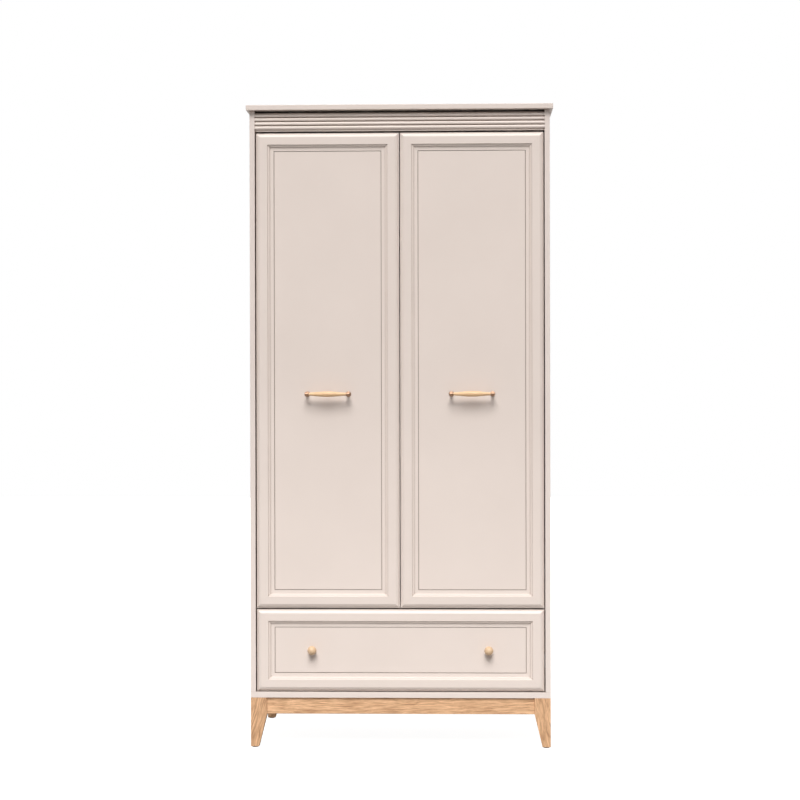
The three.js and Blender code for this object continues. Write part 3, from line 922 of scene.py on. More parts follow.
@dataclass
class LegFrame:
    """Four tapered oak legs joined by four rails, with corner blocks inside and glides underneath."""

    palette: Palette
    foot_share: float = 0.5
    ease: float = 1.3 * MM
    glide: float = 2.5 * MM
    glide_radius: float = 9 * MM
    block_long: float = 62 * MM
    block_share: float = 0.55
    block_drop: float = 6 * MM

    def leg(self, end: End, side: Side) -> None:
        """Makes one leg, upright outside and tapered inside, with its glide."""
        name = f"{end.word}_{side.word}_leg"
        box = Box.of(name)
        shoulder = Box.of("front_base_rail").low.z
        corner = box.corner(side.value, end.value)
        corner.z = 0
        leg = Piece.block(f"{name}_oak", box.low, box.high).score(Vector((0, 0, shoulder)), Z)
        with editing(leg.item):
            pick_faces(leg.item, lambda middle, normal: middle.z < 1 * MM)
            share = self.foot_share
            bpy.ops.transform.resize(value=(share, share, 1), center_override=corner)
        leg.saw(Vector((0, 0, self.glide)), -Z).soften(self.ease, 3, sharpness=25)
        lean, pith, dark = (14, (26, 34), 0.1) if side is Side.LEFT else (-9, (-40, 22), 0)
        roll = 20 if end is End.FRONT else -35
        turn = Euler((math.radians(roll), math.radians(-90 + lean), 0))
        leg.paint(OAK.make(name, box.centre, turn, pith, dark)).fit(Body.CARCASS, Slot.OAK, name)
        inward = Vector((-side.value, -end.value, 0))
        middle = corner + inward * box.size.x * self.foot_share / 2
        rim = 0.6 * MM
        profile = [(0, 0), (self.glide_radius - rim, 0), (self.glide_radius, rim)]
        profile += [(self.glide_radius, self.glide), (0, self.glide)]
        glide = Piece.turned(f"{name}_glide", profile, middle, Z, 32)
        glide.paint(self.palette.felt).fit(Body.CARCASS, Slot.FELT)

    def rail(self, name: str, lengthways: Vector, pith: tuple[float, float]) -> None:
        """Makes one rail, with its grain along it."""
        box = Box.of(name)
        rail = Piece.block(f"{name}_oak", box.low, box.high)
        rail.bevel(self.ease, 3, lambda middle, run: abs(run.dot(lengthways)) > 0.9)
        turn = Euler((0, 0, 0 if lengthways is X else math.pi / 2))
        rail.paint(OAK.make(name, box.centre, turn, pith)).fit(Body.CARCASS, Slot.OAK, name)

    def corner_block(self, end: End, side: Side) -> None:
        """Makes one four-cornered block that ties two rails behind a leg."""
        rail = Box.of(f"{end.word}_base_rail")
        flank = Box.of(f"{side.word}_base_rail")
        corner = rail.corner(-side.value, -end.value) + Z * self.block_drop
        corner.x = flank.corner(-side.value, -end.value).x
        across, back = X * -side.value, Y * -end.value
        leg = Box.of(f"{end.word}_{side.word}_leg").size.x
        start = corner + across * (leg - flank.size.x)
        reach, past = self.block_long, leg - rail.size.y
        run = reach * self.block_share
        outline = [start, start + across * run, corner + back * (past + run), corner + back * past]
        tall = Z * (rail.size.z - 2 * self.block_drop)
        name = f"{end.word}_{side.word}_corner_block"
        block = Piece.drawn(name, outline, tall).soften(1 * MM, 2)
        box = Box(corner, corner + Vector((reach, reach, tall.z)))
        turn = Euler((0, 0, math.radians(-45 * side.value * end.value)))
        block.paint(OAK.make(name, box.centre, turn, (60, 80))).fit(Body.CARCASS, Slot.OAK)

    def build(self) -> None:
        """Makes the whole leg frame."""
        for side in Side:
            for end in End:
                self.leg(end, side)
                self.corner_block(end, side)
            self.rail(f"{side.word}_base_rail", Y, (70, 18))
        self.rail("front_base_rail", X, (85, 31))
        self.rail("rear_base_rail", X, (64, -40))


@dataclass
class Carcass:
    """The cabinet: sides, shelves, cornice, reeded frieze, back and hanging rail."""

    palette: Palette
    cornice_ease: float = 1.6 * MM
    reeds: int = 4
    reed_top: float = 1.5 * MM
    reed_pitch: float = 12.7 * MM
    reed_gap: float = 0.5 * MM
    reed_relief: float = 5.6 * MM
    pin_radius: float = 2.5 * MM
    pin_row: float = 37 * MM
    pin_pitch: float = 32 * MM
    pin_holes: int = 4
    strip_wide: float = 22 * MM
    strip_play: float = 0.05 * MM
    nail_pitch: float = 150 * MM
    nail_edge: float = 7 * MM
    nail_columns: tuple[float, ...] = (-0.3, -0.15, 0.15, 0.3)
    socket_margin: float = 9 * MM
    collar_margin: float = 2.4 * MM
    collar_long: float = 11 * MM
    socket_screw: float = 20.3 * MM
    cam_radius: float = 8.5 * MM

    def boards(self) -> None:
        """Makes the plain coated boards."""
        for name in ("bottom_panel", "divider_shelf", "top_panel", "hat_shelf"):
            board = edged_board(f"{name}_board", Box.of(name), self.palette)
            board.fit(Body.CARCASS, Slot.BOARD, name)

    def pin_places(self) -> list[Vector]:
        """The places of the hat shelf's pins on the left side panel's inner face."""
        shelf = Box.of("hat_shelf")
        inner = Box.of("left_side_panel").high.x
        height = shelf.low.z - self.pin_radius
        return [
            Vector((inner, y, height))
            for y in (shelf.low.y + self.pin_row, shelf.high.y - self.pin_row)
        ]

    def sides(self) -> None:
        """Makes the side panels with their rows of shelf pin holes, and the four pins."""
        left = edged_board("left_side_board", Box.of("left_side_panel"), self.palette)
        for end, place in zip(End, self.pin_places()):
            for step in range(-self.pin_holes, self.pin_holes + 1):
                middle = place + Z * step * self.pin_pitch
                reach = X * 9 * MM
                left.carve(Piece.rod("drill", middle - reach, middle + reach, self.pin_radius, 14))
            profile = [(0, -8 * MM), (self.pin_radius * 0.96, -8 * MM), (self.pin_radius * 0.96, 0)]
            profile += [(4 * MM, 0.1 * MM), (4 * MM, 1 * MM), (self.pin_radius, 1.3 * MM)]
            profile += [(self.pin_radius, 6.4 * MM), (self.pin_radius * 0.8, 7 * MM), (0, 7 * MM)]
            pin = Piece.turned(f"left_{end.word}_shelf_pin", profile, place, X, 20)
            pin.paint(self.palette.zinc).fit_both(Body.CARCASS, Slot.ZINC)
        left.fit_both(Body.CARCASS, Slot.BOARD, "left_side_panel")

    def cornice(self) -> None:
        """Makes the flat cornice board, rounded on the edges that show."""
        box = Box.of("top_cornice")
        board = Piece.block("cornice_board", box.low, box.high)
        board.bevel(self.cornice_ease, 4, lambda middle, run: middle.y < box.high.y - 1 * MM)
        board.soften(0.5 * MM, 2, sharpness=60)
        board.paint(self.palette.cashmere).fit(Body.CARCASS, Slot.BOARD, "top_cornice")

    def frieze(self) -> None:
        """Makes the frieze strip with its half-round reeds."""
        box = Box.of("reeded_frieze")
        corner = Vector((box.low.x, box.low.y, 0))
        root = corner + Y * self.reed_relief
        half = self.reed_pitch / 2 - self.reed_gap / 2
        outline = [Vector((box.low.x, box.high.y, box.low.z)), Vector((box.low.x, box.high.y, box.high.z))]
        outline.append(root + Z * box.high.z)
        for reed in range(self.reeds):
            middle = box.high.z - self.reed_top - self.reed_pitch * (reed + 0.5)
            outline += arc(root + Z * middle, Z * half, -Y * self.reed_relief, 0, 180, 14)
        outline.append(root + Z * box.low.z)
        strip = Piece.drawn("reeded_frieze_strip", outline, X * box.size.x)
        strip.paint(self.palette.cashmere).fit(Body.CARCASS, Slot.BOARD, "reeded_frieze", angle=50)

    def back(self) -> None:
        """Makes the back of two hardboard sheets, the strip that joins them and the nails round them."""
        box = Box.of("back_panel")
        middle = box.centre.x
        gap = 1.2 * MM
        for side in Side:
            low, high = box.low.copy(), box.high.copy()
            if side is Side.LEFT:
                high.x = middle - gap
            else:
                low.x = middle + gap
            sheet = Piece.block(f"{side.word}_back_sheet", low, high).soften(0.4 * MM, 1)
            sheet.paint(self.palette.printed_back, self.palette.raw_back)
            sheet.paint_faces(1, lambda centre, normal: normal.y > 0.1 or centre.y > box.centre.y)
            nodes = ("back_panel",) if side is Side.LEFT else ()
            sheet.fit(Body.CARCASS, Slot.HARDBOARD, *nodes)
        half = self.strip_wide / 2
        web, lip = gap * 0.7, 0.85 * MM
        front, rear = box.low.y - self.strip_play, box.high.y + self.strip_play
        corners = [(half, front - lip), (half, front), (web, front), (web, rear), (half, rear)]
        corners.append((half, rear + lip))
        corners += [(-x, y) for x, y in reversed(corners)]
        outline = [Vector((x, y, box.low.z)) for x, y in corners]
        strip = Piece.drawn("back_joining_strip", eased(outline, 0.3 * MM, 1), Z * box.size.z)
        strip.paint(self.palette.nylon).fit(Body.CARCASS, Slot.PLASTIC)
        self.nails(box)

    def nails(self, box: Box) -> None:
        """Drives one row of nails up each side and along the top and bottom of the back."""
        edge = self.nail_edge
        rows = math.floor(box.size.z / self.nail_pitch)
        rise = (box.size.z - 2 * edge) / rows
        places = [
            Vector((x, box.high.y, box.low.z + edge + rise * row))
            for row in range(rows + 1)
            for x in (box.low.x + edge, box.high.x - edge)
        ]
        boards = (box.low.z + edge, Box.of("divider_shelf").centre.z, Box.of("top_panel").centre.z)
        places += [Vector((x, box.high.y, z)) for x in self.nail_columns for z in boards]
        r, h = 2.2 * MM, 0.7 * MM
        profile = [(0, -0.1 * MM), (r, -0.1 * MM), (r, 0.3 * MM), (1 * MM, h), (0, h)]
        nails = Piece.turned("back_nails", profile, places[0], Y, 12).repeat(places)
        nails.paint(self.palette.zinc).fit(Body.CARCASS, Slot.ZINC)

    def hanging_rail(self) -> None:
        """Makes the oval rail and the two sockets that carry it."""
        box = Box.of("hanging_rail")
        radius = box.size.y / 2
        straight = box.size.z / 2 - radius
        end = Vector((box.low.x + 1.5 * MM, box.centre.y, box.centre.z))

        def oval(start: Vector, margin: float) -> list[Vector]:
            """An upright oval outline round the rail's section, with a margin."""
            out = radius + margin
            top = arc(start + Z * straight, Y * out, Z * out, 0, 180, 14)
            return top + arc(start - Z * straight, Y * out, Z * out, 180, 360, 14)

        rail = Piece.drawn("hanging_rail_tube", oval(end, 0), X * (box.size.x - 3 * MM))
        rail.paint(self.palette.chrome).fit(Body.CARCASS, Slot.CHROME, "hanging_rail")
        foot = Vector((box.low.x + 0.05 * MM, box.centre.y, box.centre.z))
        plate = 2 * MM
        inside = foot + X * plate / 2
        socket = Piece.drawn("left_rail_socket", oval(foot, self.socket_margin), X * plate)
        collar = Piece.drawn("collar", oval(inside, self.collar_margin), X * self.collar_long)
        socket.carve(collar, operation="UNION")
        socket.carve(Piece.drawn("seat", oval(inside, 0.15 * MM), X * 20 * MM)).soften(0.4 * MM, 2)
        screw = ScrewHead(radius=2.6 * MM, recess=1.7 * MM)
        places = [foot + X * plate + Z * z for z in (-self.socket_screw, self.socket_screw)]
        socket.absorb([screw.make("screws", places[0], X).repeat(places)])
        socket.paint(self.palette.chrome).fit_both(Body.CARCASS, Slot.CHROME)

    def cam_covers(self) -> None:
        """Makes the round covers over the cam fittings, under the top panel and the divider."""
        for name in ("top_panel", "divider_shelf"):
            box = Box.of(name)
            r = self.cam_radius
            profile = [(0, -0.1 * MM), (r, -0.1 * MM), (r, 0.5 * MM), (0.85 * r, 1 * MM), (0, 1.1 * MM)]
            places = [
                Vector((sign * (box.high.x - 34 * MM), y, box.low.z))
                for sign in (-1, 1)
                for y in (box.low.y + 60 * MM, box.high.y - 60 * MM)
            ]
            covers = Piece.turned(f"{name}_cam_covers", profile, places[0], -Z, 24).repeat(places)
            covers.paint(self.palette.nylon).fit(Body.CARCASS, Slot.PLASTIC)

    def build(self) -> None:
        """Makes the whole cabinet."""
        self.boards()
        self.sides()
        self.cornice()
        self.frieze()
        self.back()
        self.hanging_rail()
        self.cam_covers()


@dataclass(frozen=True)
class MouldedSection:
    """The section of a framed front: distances in from its outer edge and back from its face."""

    lip: tuple[tuple[float, float], ...] = ((0, 20), (0, 6.6), (3, 6.6))
    shoulder: tuple[tuple[float, float], ...] = ((4.8, 3.8), (11.2, 0.5), (12.6, 0))
    step: tuple[tuple[float, float], ...] = ((35.5, 0), (37.4, 3.4), (41.6, 4.4))
    tread: tuple[tuple[float, float], ...] = ((43.5, 7.7), (47.8, 8.6))
    fillet: tuple[tuple[float, float], ...] = ((55.2, 8.6), (55.2, 12.6))
    groove: tuple[tuple[float, float], ...] = ((48.2, 12.6), (48.2, 16.1), (57.4, 16.1), (57.4, 20))
    ease: float = 0.4 * MM

    def points(self) -> list[tuple[float, float]]:
        """The section's corners in metres, lightly rounded, as distance in and distance back."""
        corners = [*self.lip, *self.shoulder, *self.step, *self.tread, *self.fillet, *self.groove]
        rounded = eased([Vector((x, y, 0)) * MM for x, y in corners], self.ease)
        return [(point.x, point.y) for point in rounded]


@dataclass
class FramedFront:
    """Four mitred mouldings round a flat panel: the build of each door and of the drawer front."""

    name: str
    box: Box
    body: Body
    palette: Palette
    section: MouldedSection = field(default_factory=MouldedSection)
    seam: float = 0.05 * MM
    rebate: float = 8.2 * MM
    rebate_deep: float = 3.2 * MM

    def member(self, name: str, inward: Vector, along: Vector) -> Piece:
        """Makes one moulding from the box's low corner.

        Args:
            name: the piece's name.
            inward: the direction across the moulding, towards the panel.
            along: the direction along it.

        Returns:
            The moulding, mitred at both ends.
        """
        corner = self.box.low
        length = self.box.size.dot(along)
        outline = [corner + inward * u + Y * v for u, v in self.section.points()]
        moulding = Piece.drawn(name, outline, along * length)
        moulding.saw(corner + along * self.seam, inward - along)
        moulding.saw(corner + along * (length - self.seam), inward + along)
        return moulding.paint(self.palette.cashmere)

    def mouldings(self) -> dict[str, Piece]:
        """Makes the four mouldings, by their place."""
        middle = self.box.centre
        left = self.member(f"{self.name}_left_moulding", X, Z)
        bottom = self.member(f"{self.name}_bottom_moulding", Z, X)
        return {
            "left": left,
            "right": left.copy(f"{self.name}_right_moulding", mirror=X, about=middle),
            "bottom": bottom,
            "top": bottom.copy(f"{self.name}_top_moulding", mirror=Z, about=middle),
        }

    def panel(self, node: str) -> None:
        """Makes the panel, with a sunk border where it runs under the mouldings."""
        box = Box.of(node)
        board = Piece.block(f"{self.name}_flat_panel", box.low + Y * self.rebate_deep, box.high)
        board.push(lambda place, normal: normal.y < -0.9, self.rebate, 0)

        def on_field(place: Vector, normal: Vector) -> bool:
            """Tells the field's one face from the border's four."""
            off = place - box.centre
            return normal.y < -0.9 and abs(off.x) + abs(off.z) < 1 * MM

        board.push(on_field, 0, self.rebate_deep)
        board.soften(0.4 * MM, 2)
        board.paint(self.palette.cashmere).fit(self.body, Slot.BOARD, node)


@dataclass
class BarHandle:
    """A turned wooden grip between two metal posts."""

    name: str
    side: Side
    body: Body
    palette: Palette
    grip_end: float = 4.9 * MM
    swell: float = 1.5
    post: float = 4.3 * MM
    base: float = 8 * MM
    base_tall: float = 2 * MM
    barrel: float = 6 * MM
    barrel_half: float = 6.5 * MM
    steps: int = 24

    def grip(self) -> None:
        """Turns the grip, fullest in the middle."""
        node = f"{self.side.word}_door_grip"
        box = Box.of(node)
        half, full = box.size.x / 2, box.size.z / 2
        profile = [(0.0, -half)]
        for step in range(self.steps + 1):
            along = 2 * step / self.steps - 1
            share = max(math.cos(along * math.pi / 2), 0) ** self.swell
            profile.append((self.grip_end + (full - self.grip_end) * share, half * along))
        profile.append((0.0, half))
        grip = Piece.turned(f"{self.name}_grip", profile, box.centre, X, 48)
        wood = MAPLE.make(f"{self.name}_grip", box.centre, Euler((0.6, 0, 0)), (11, 7))
        grip.paint(wood).fit(self.body, Slot.BEECH, node)

    def posts(self) -> None:
        """Turns the two posts, each with its cross barrel and the screw head behind the panel."""
        panel = Box.of(f"{self.side.word}_door_panel")
        nodes = [f"{self.side.word}_door_{end}_post" for end in ("left", "right")]
        first, second = (Box.of(node) for node in nodes)
        axis_y = Box.of(f"{self.side.word}_door_grip").centre.y
        foot = Vector((first.centre.x, panel.low.y, first.centre.z))
        reach = foot.y - axis_y
        base, stem, top = self.base, self.post, self.base_tall
        profile = [(0.0, 0.0), (base, 0.0), (base, top - 0.6 * MM), (base - 0.6 * MM, top)]
        profile += [(stem + 1.6 * MM, top + 0.5 * MM), (stem + 0.5 * MM, top + 1.6 * MM)]
        profile += [(stem, top + 3.6 * MM), (stem, reach), (0.0, reach)]
        post = Piece.turned(f"{self.name}_left_post", profile, foot, -Y, 32)
        half, r = min(first.size.x / 2, self.barrel_half), self.barrel
        ring = [(0.0, -half), (r - 1.4 * MM, -half), (r - 0.5 * MM, -half + 0.5 * MM)]
        ring += [(r, -half + 1.5 * MM), (r, 2 * MM), (r - 0.8 * MM, 2.6 * MM)]
        ring += [(r - 0.8 * MM, 3.2 * MM), (r, 3.8 * MM)]
        ring += [(r, half - 0.6 * MM), (r - 0.6 * MM, half), (0.0, half)]
        barrel = Piece.turned("barrel", ring, Vector((foot.x, axis_y, foot.z)), X, 32)
        post.carve(barrel, operation="UNION").paint(self.palette.bronze)
        twin = post.copy(f"{self.name}_right_post", mirror=X, about=(first.centre + second.centre) / 2)
        post.fit(self.body, Slot.BRONZE, nodes[0])
        twin.fit(self.body, Slot.BRONZE, nodes[1])
        places = [Vector((box.centre.x, panel.high.y, box.centre.z)) for box in (first, second)]
        heads = PAN_HEAD.make(f"{self.name}_screws", places[0], Y).repeat(places)
        heads.paint(self.palette.zinc).fit(self.body, Slot.ZINC)

    def build(self) -> None:
        """Makes the grip and its posts."""
        self.grip()
        self.posts()


@dataclass
class CupHinges:
    """The concealed cup hinges of both doors: the lower left one is made and the others are its copies."""

    palette: Palette
    cup: float = 17.5 * MM
    wall: float = 1 * MM
    rim: float = 19 * MM
    flange: float = 1.1 * MM
    wing_long: float = 31 * MM
    wing_wide: float = 8.5 * MM
    pin: float = 1.2 * MM
    eye: float = 2.5 * MM
    arm_half: float = 6 * MM
    neck: float = 30 * MM
    neck_back: float = 27 * MM
    sheet: float = 3 * MM
    body_rise: float = 13 * MM
    body_front: float = 42 * MM
    body_back: float = 96 * MM
    plate: float = 2.3 * MM
    plate_front: float = 50 * MM
    plate_back: float = 84 * MM
    plate_half: float = 26 * MM
    cup_screw: float = 24 * MM
    plate_screw: float = 18.5 * MM
    arm_screws: tuple[float, float] = (55 * MM, 78 * MM)
    levels: tuple[str, ...] = ("lower", "middle", "upper")

    def __post_init__(self) -> None:
        """Reads the hinge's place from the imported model."""
        joint = next(j for j in frame["joints"] if j["child"] == Body.LEFT_DOOR.value)
        self.arm_box = Box.of("left_lower_hinge_arm")
        self.cup_box = Box.of("left_lower_hinge_cup")
        door = Box.of("left_door_hinge_stile")
        self.door_back = door.high.y
        self.front = door.low.y
        self.level = self.cup_box.centre.z
        self.axis = Vector((joint["pos_m"][0], joint["pos_m"][1], self.level))
        self.wall_x = self.arm_box.low.x

    def make_cup(self) -> Piece:
        """Makes the cup with its winged flange, its pin and its two screws."""
        middle = Vector((self.cup_box.centre.x, self.door_back, self.level))
        deep = self.door_back - self.cup_box.low.y
        outer, inner, rim, top = self.cup, self.cup - self.wall, self.rim, self.flange
        profile = [(0.0, -deep), (outer - 1.5 * MM, -deep), (outer, -deep + 1.5 * MM), (outer, 0.1 * MM)]
        profile += [(rim, 0.1 * MM), (rim, top - 0.4 * MM), (rim - 0.4 * MM, top)]
        profile += [(inner + 0.5 * MM, top), (inner, top - 0.5 * MM), (inner, -deep + 2.4 * MM)]
        profile += [(inner - 1.6 * MM, -deep + 0.8 * MM), (0.0, -deep + 0.8 * MM)]
        cup = Piece.turned("left_lower_cup", profile, middle, Y, 40)
        r = self.wing_wide
        straight = self.wing_long - r
        low = middle + Y * 0.1 * MM
        outline = arc(low + Z * straight, X * r, Z * r, 0, 180, 12)
        outline += arc(low - Z * straight, X * r, Z * r, 180, 360, 12)
        wings = Piece.drawn("wings", outline, Y * (self.flange - 0.1 * MM)).soften(0.3 * MM, 1)
        wings.carve(Piece.rod("mouth", middle - Y * 9 * MM, middle + Y * 9 * MM, inner + 0.2 * MM, 40))
        cup.carve(wings, operation="UNION")
        reach = Z * math.sqrt(inner**2 - (abs(self.axis.x - middle.x) + self.pin) ** 2)
        cup.absorb([Piece.rod("pin", self.axis - reach, self.axis + reach, self.pin, 20).soften(0.2 * MM)])
        seat = middle + Y * self.flange
        cup.absorb([ScrewHead().make("screw", seat + Z * z, Y) for z in (-self.cup_screw, self.cup_screw)])
        return cup.paint(self.palette.zinc)

    def make_arm(self) -> Piece:
        """Makes the arm: eye, gooseneck and the body with its two adjusting screws."""
        base = Vector((self.wall_x, self.front, self.level - self.arm_half))
        eye = self.axis - Z * self.arm_half - base
        near, far = self.neck - self.sheet / 2, self.neck + self.sheet / 2
        slope, lift = 5 * MM, self.plate + 0.2 * MM
        corners = [
            (eye.x, eye.y + self.eye),
            (near - slope / 2, eye.y + self.eye - 0.5 * MM),
            (near, eye.y + self.eye + slope / 2),
            (near, self.neck_back - 1 * MM),
            (self.body_rise, self.body_front),
            (lift, self.body_front + slope),
            (lift, self.body_back),
            (self.body_rise - slope / 2, self.body_back),
            (self.body_rise, self.body_back - slope),
            (self.body_rise, self.body_front + slope),
            (far, self.neck_back + 1 * MM),
            (far, eye.y + self.eye),
            (self.neck - slope / 2, eye.y - self.eye + slope / 2),
            (eye.x, eye.y - self.eye),
        ]
        outline = eased([base + X * x + Y * y for x, y in corners], 2 * MM, 4)
        arm = Piece.drawn("left_lower_arm", outline, Z * 2 * self.arm_half)
        reach = Z * self.arm_half
        boss = Piece.rod("boss", self.axis - reach, self.axis + reach, self.eye, 24)
        arm.carve(boss, operation="UNION")
        bore = Piece.rod("bore", self.axis - reach * 2, self.axis + reach * 2, self.pin + 0.15 * MM, 24)
        arm.carve(bore)
        arm.soften(0.4 * MM, 2, sharpness=50)
        seat = base + X * self.body_rise + Z * self.arm_half
        screw = ScrewHead(radius=2.9 * MM, height=1 * MM, recess=2 * MM)
        arm.absorb([screw.make("screw", seat + Y * y, X) for y in self.arm_screws])
        return arm.paint(self.palette.zinc)

    def make_plate(self) -> Piece:
        """Makes the mounting plate with its two screws into the side panel."""
        foot = Vector((self.wall_x + 0.05 * MM, self.front, self.level))
        middle = (self.plate_front + self.plate_back) / 2
        half, waist, wing = (self.plate_back - self.plate_front) / 2, 11 * MM, 7 * MM
        corners = [(-half, -waist), (-wing, -waist), (-wing, -self.plate_half)]
        corners += [(-y, z) for y, z in reversed(corners)]
        corners += [(y, -z) for y, z in reversed(corners)]
        outline = eased([foot + Y * (middle + y) + Z * z for y, z in corners], 5 * MM, 5)
        plate = Piece.drawn("left_lower_mounting_plate", outline, X * self.plate).soften(0.4 * MM, 2)
        seat = foot + X * self.plate + Y * middle
        places = [seat + Z * z for z in (-self.plate_screw, self.plate_screw)]
        plate.absorb([ScrewHead().make("screws", places[0], X).repeat(places)])
        return plate.paint(self.palette.zinc)

    def build(self) -> None:
        """Makes all six hinges."""
        kinds = {"cup": self.make_cup(), "arm": self.make_arm(), "mounting_plate": self.make_plate()}
        for kind, model in kinds.items():
            for side in Side:
                for level in self.levels:
                    rise = Z * (Box.of(f"left_{level}_hinge_cup").centre.z - self.level)
                    mirror = X if side is Side.RIGHT else None
                    twin = model.copy(f"{side.word}_{level}_{kind}_metal", move=rise, mirror=mirror)
                    body = Body(f"{side.word}_door") if kind == "cup" else Body.CARCASS
                    nodes = () if kind == "mounting_plate" else (f"{side.word}_{level}_hinge_{kind}",)
                    twin.fit(body, Slot.ZINC, *nodes)
            model.discard()


@dataclass
class Door:
    """One framed door with its handle."""

    side: Side
    palette: Palette
    bore: float = 17.8 * MM
    bore_deep: float = 12.8 * MM

    def build(self) -> None:
        """Makes the door's frame and panel, bores its hinge stile and hangs the handle on it."""
        word = self.side.word
        body = Body(f"{word}_door")
        members = {"left": "meeting_stile", "right": "meeting_stile", word: "hinge_stile"}
        members |= {"top": "top_rail", "bottom": "bottom_rail"}
        nodes = {place: (f"{word}_door_{part}",) for place, part in members.items()}
        box = Box.of(*(name for names in nodes.values() for name in names))
        front = FramedFront(f"{word}_door", box, body, self.palette)
        made = front.mouldings()
        for level in CupHinges.levels:
            cup = Box.of(f"{word}_{level}_hinge_cup").centre
            mouth = Vector((cup.x, box.high.y, cup.z))
            reach = Y * self.bore_deep
            made[word].carve(Piece.rod("bore", mouth - reach, mouth + reach, self.bore, 40))
        for place, moulding in made.items():
            moulding.fit(body, Slot.BOARD, *nodes[place])
        front.panel(f"{word}_door_panel")
        BarHandle(f"{word}_handle", self.side, body, self.palette).build()


@dataclass
class Knob:
    """A turned wooden ball on a short flared neck."""

    name: str
    node: str
    palette: Palette
    neck: float = 5.5 * MM
    neck_long: float = 2.5 * MM
    foot: float = 7.5 * MM
    facet_gain: float = 1.01
    steps: int = 20

    def build(self) -> None:
        """Turns the knob and the screw head behind the panel."""
        box = Box.of(self.node)
        panel = Box.of("drawer_front_panel")
        radius = box.size.x / 2 * self.facet_gain
        seat = Vector((box.centre.x, panel.low.y, box.centre.z))
        out = seat.y - box.low.y - radius
        last = math.pi - math.asin(self.neck / radius)
        profile = []
        for step in range(self.steps + 1):
            angle = last * step / self.steps
            profile.append((radius * math.sin(angle), out + radius * math.cos(angle)))
        profile += [(self.neck, self.neck_long), (self.neck + 0.7 * MM, 1.2 * MM), (self.foot, 0.5 * MM)]
        profile += [(self.foot, 0.0), (0.0, 0.0)]
        knob = Piece.turned(self.name, profile, seat, -Y, 48)
        wood = PALE_MAPLE.make(self.name, box.centre, Euler((0, 0, math.pi / 2)), (9, 4))
        knob.paint(wood).fit(Body.DRAWER, Slot.BEECH, self.node)
        head = PAN_HEAD.make(f"{self.name}_screw", Vector((seat.x, panel.high.y, seat.z)), Y)
        head.paint(self.palette.zinc).fit(Body.DRAWER, Slot.ZINC)


@dataclass
class Drawer:
    """The drawer: framed front, two knobs and a box of foil-wrapped boards."""

    palette: Palette
    top_round: float = 3 * MM
    screw_shares: tuple[float, ...] = (0.15, 0.5, 0.85)

    def build(self) -> None:
        """Makes the front, the knobs and the box."""
        node = "drawer_front_frame"
        front = FramedFront("drawer", Box.of(node), Body.DRAWER, self.palette)
        for moulding in front.mouldings().values():
            moulding.fit(Body.DRAWER, Slot.BOARD, node)
        front.panel("drawer_front_panel")
        for side in Side:
            Knob(f"{side.word}_ball_knob", f"drawer_{side.word}_knob", self.palette).build()
            self.board(f"drawer_{side.word}_side")
        self.board("drawer_back")
        box = Box.of("drawer_bottom")
        bottom = Piece.block("drawer_bottom_sheet", box.low, box.high).soften(0.3 * MM, 1)
        bottom.paint(self.palette.printed_back).fit(Body.DRAWER, Slot.HARDBOARD, "drawer_bottom")
        self.screws()

    def board(self, node: str) -> None:
        """Makes one board of the box, rounded along its top edges."""
        box = Box.of(node)
        top = box.high.z - 1 * MM
        board = Piece.block(f"{node}_board", box.low, box.high)
        board.bevel(self.top_round, 5, lambda middle, run: middle.z > top and abs(run.z) < 0.1)
        board.soften(0.4 * MM, 2, sharpness=60)
        board.paint(self.palette.drawer_foil).fit(Body.DRAWER, Slot.DRAWER_BOARD, node)

    def screws(self) -> None:
        """Drives the screws through the box sides into the back."""
        side = Box.of("drawer_left_side")
        back = Box.of("drawer_back")
        low = Vector((side.low.x, back.centre.y, back.low.z))
        places = [low + Z * back.size.z * share for share in self.screw_shares]
        heads = ScrewHead().make("drawer_left_side_screws", places[0], -X).repeat(places)
        heads.paint(self.palette.zinc).fit_both(Body.DRAWER, Slot.ZINC)


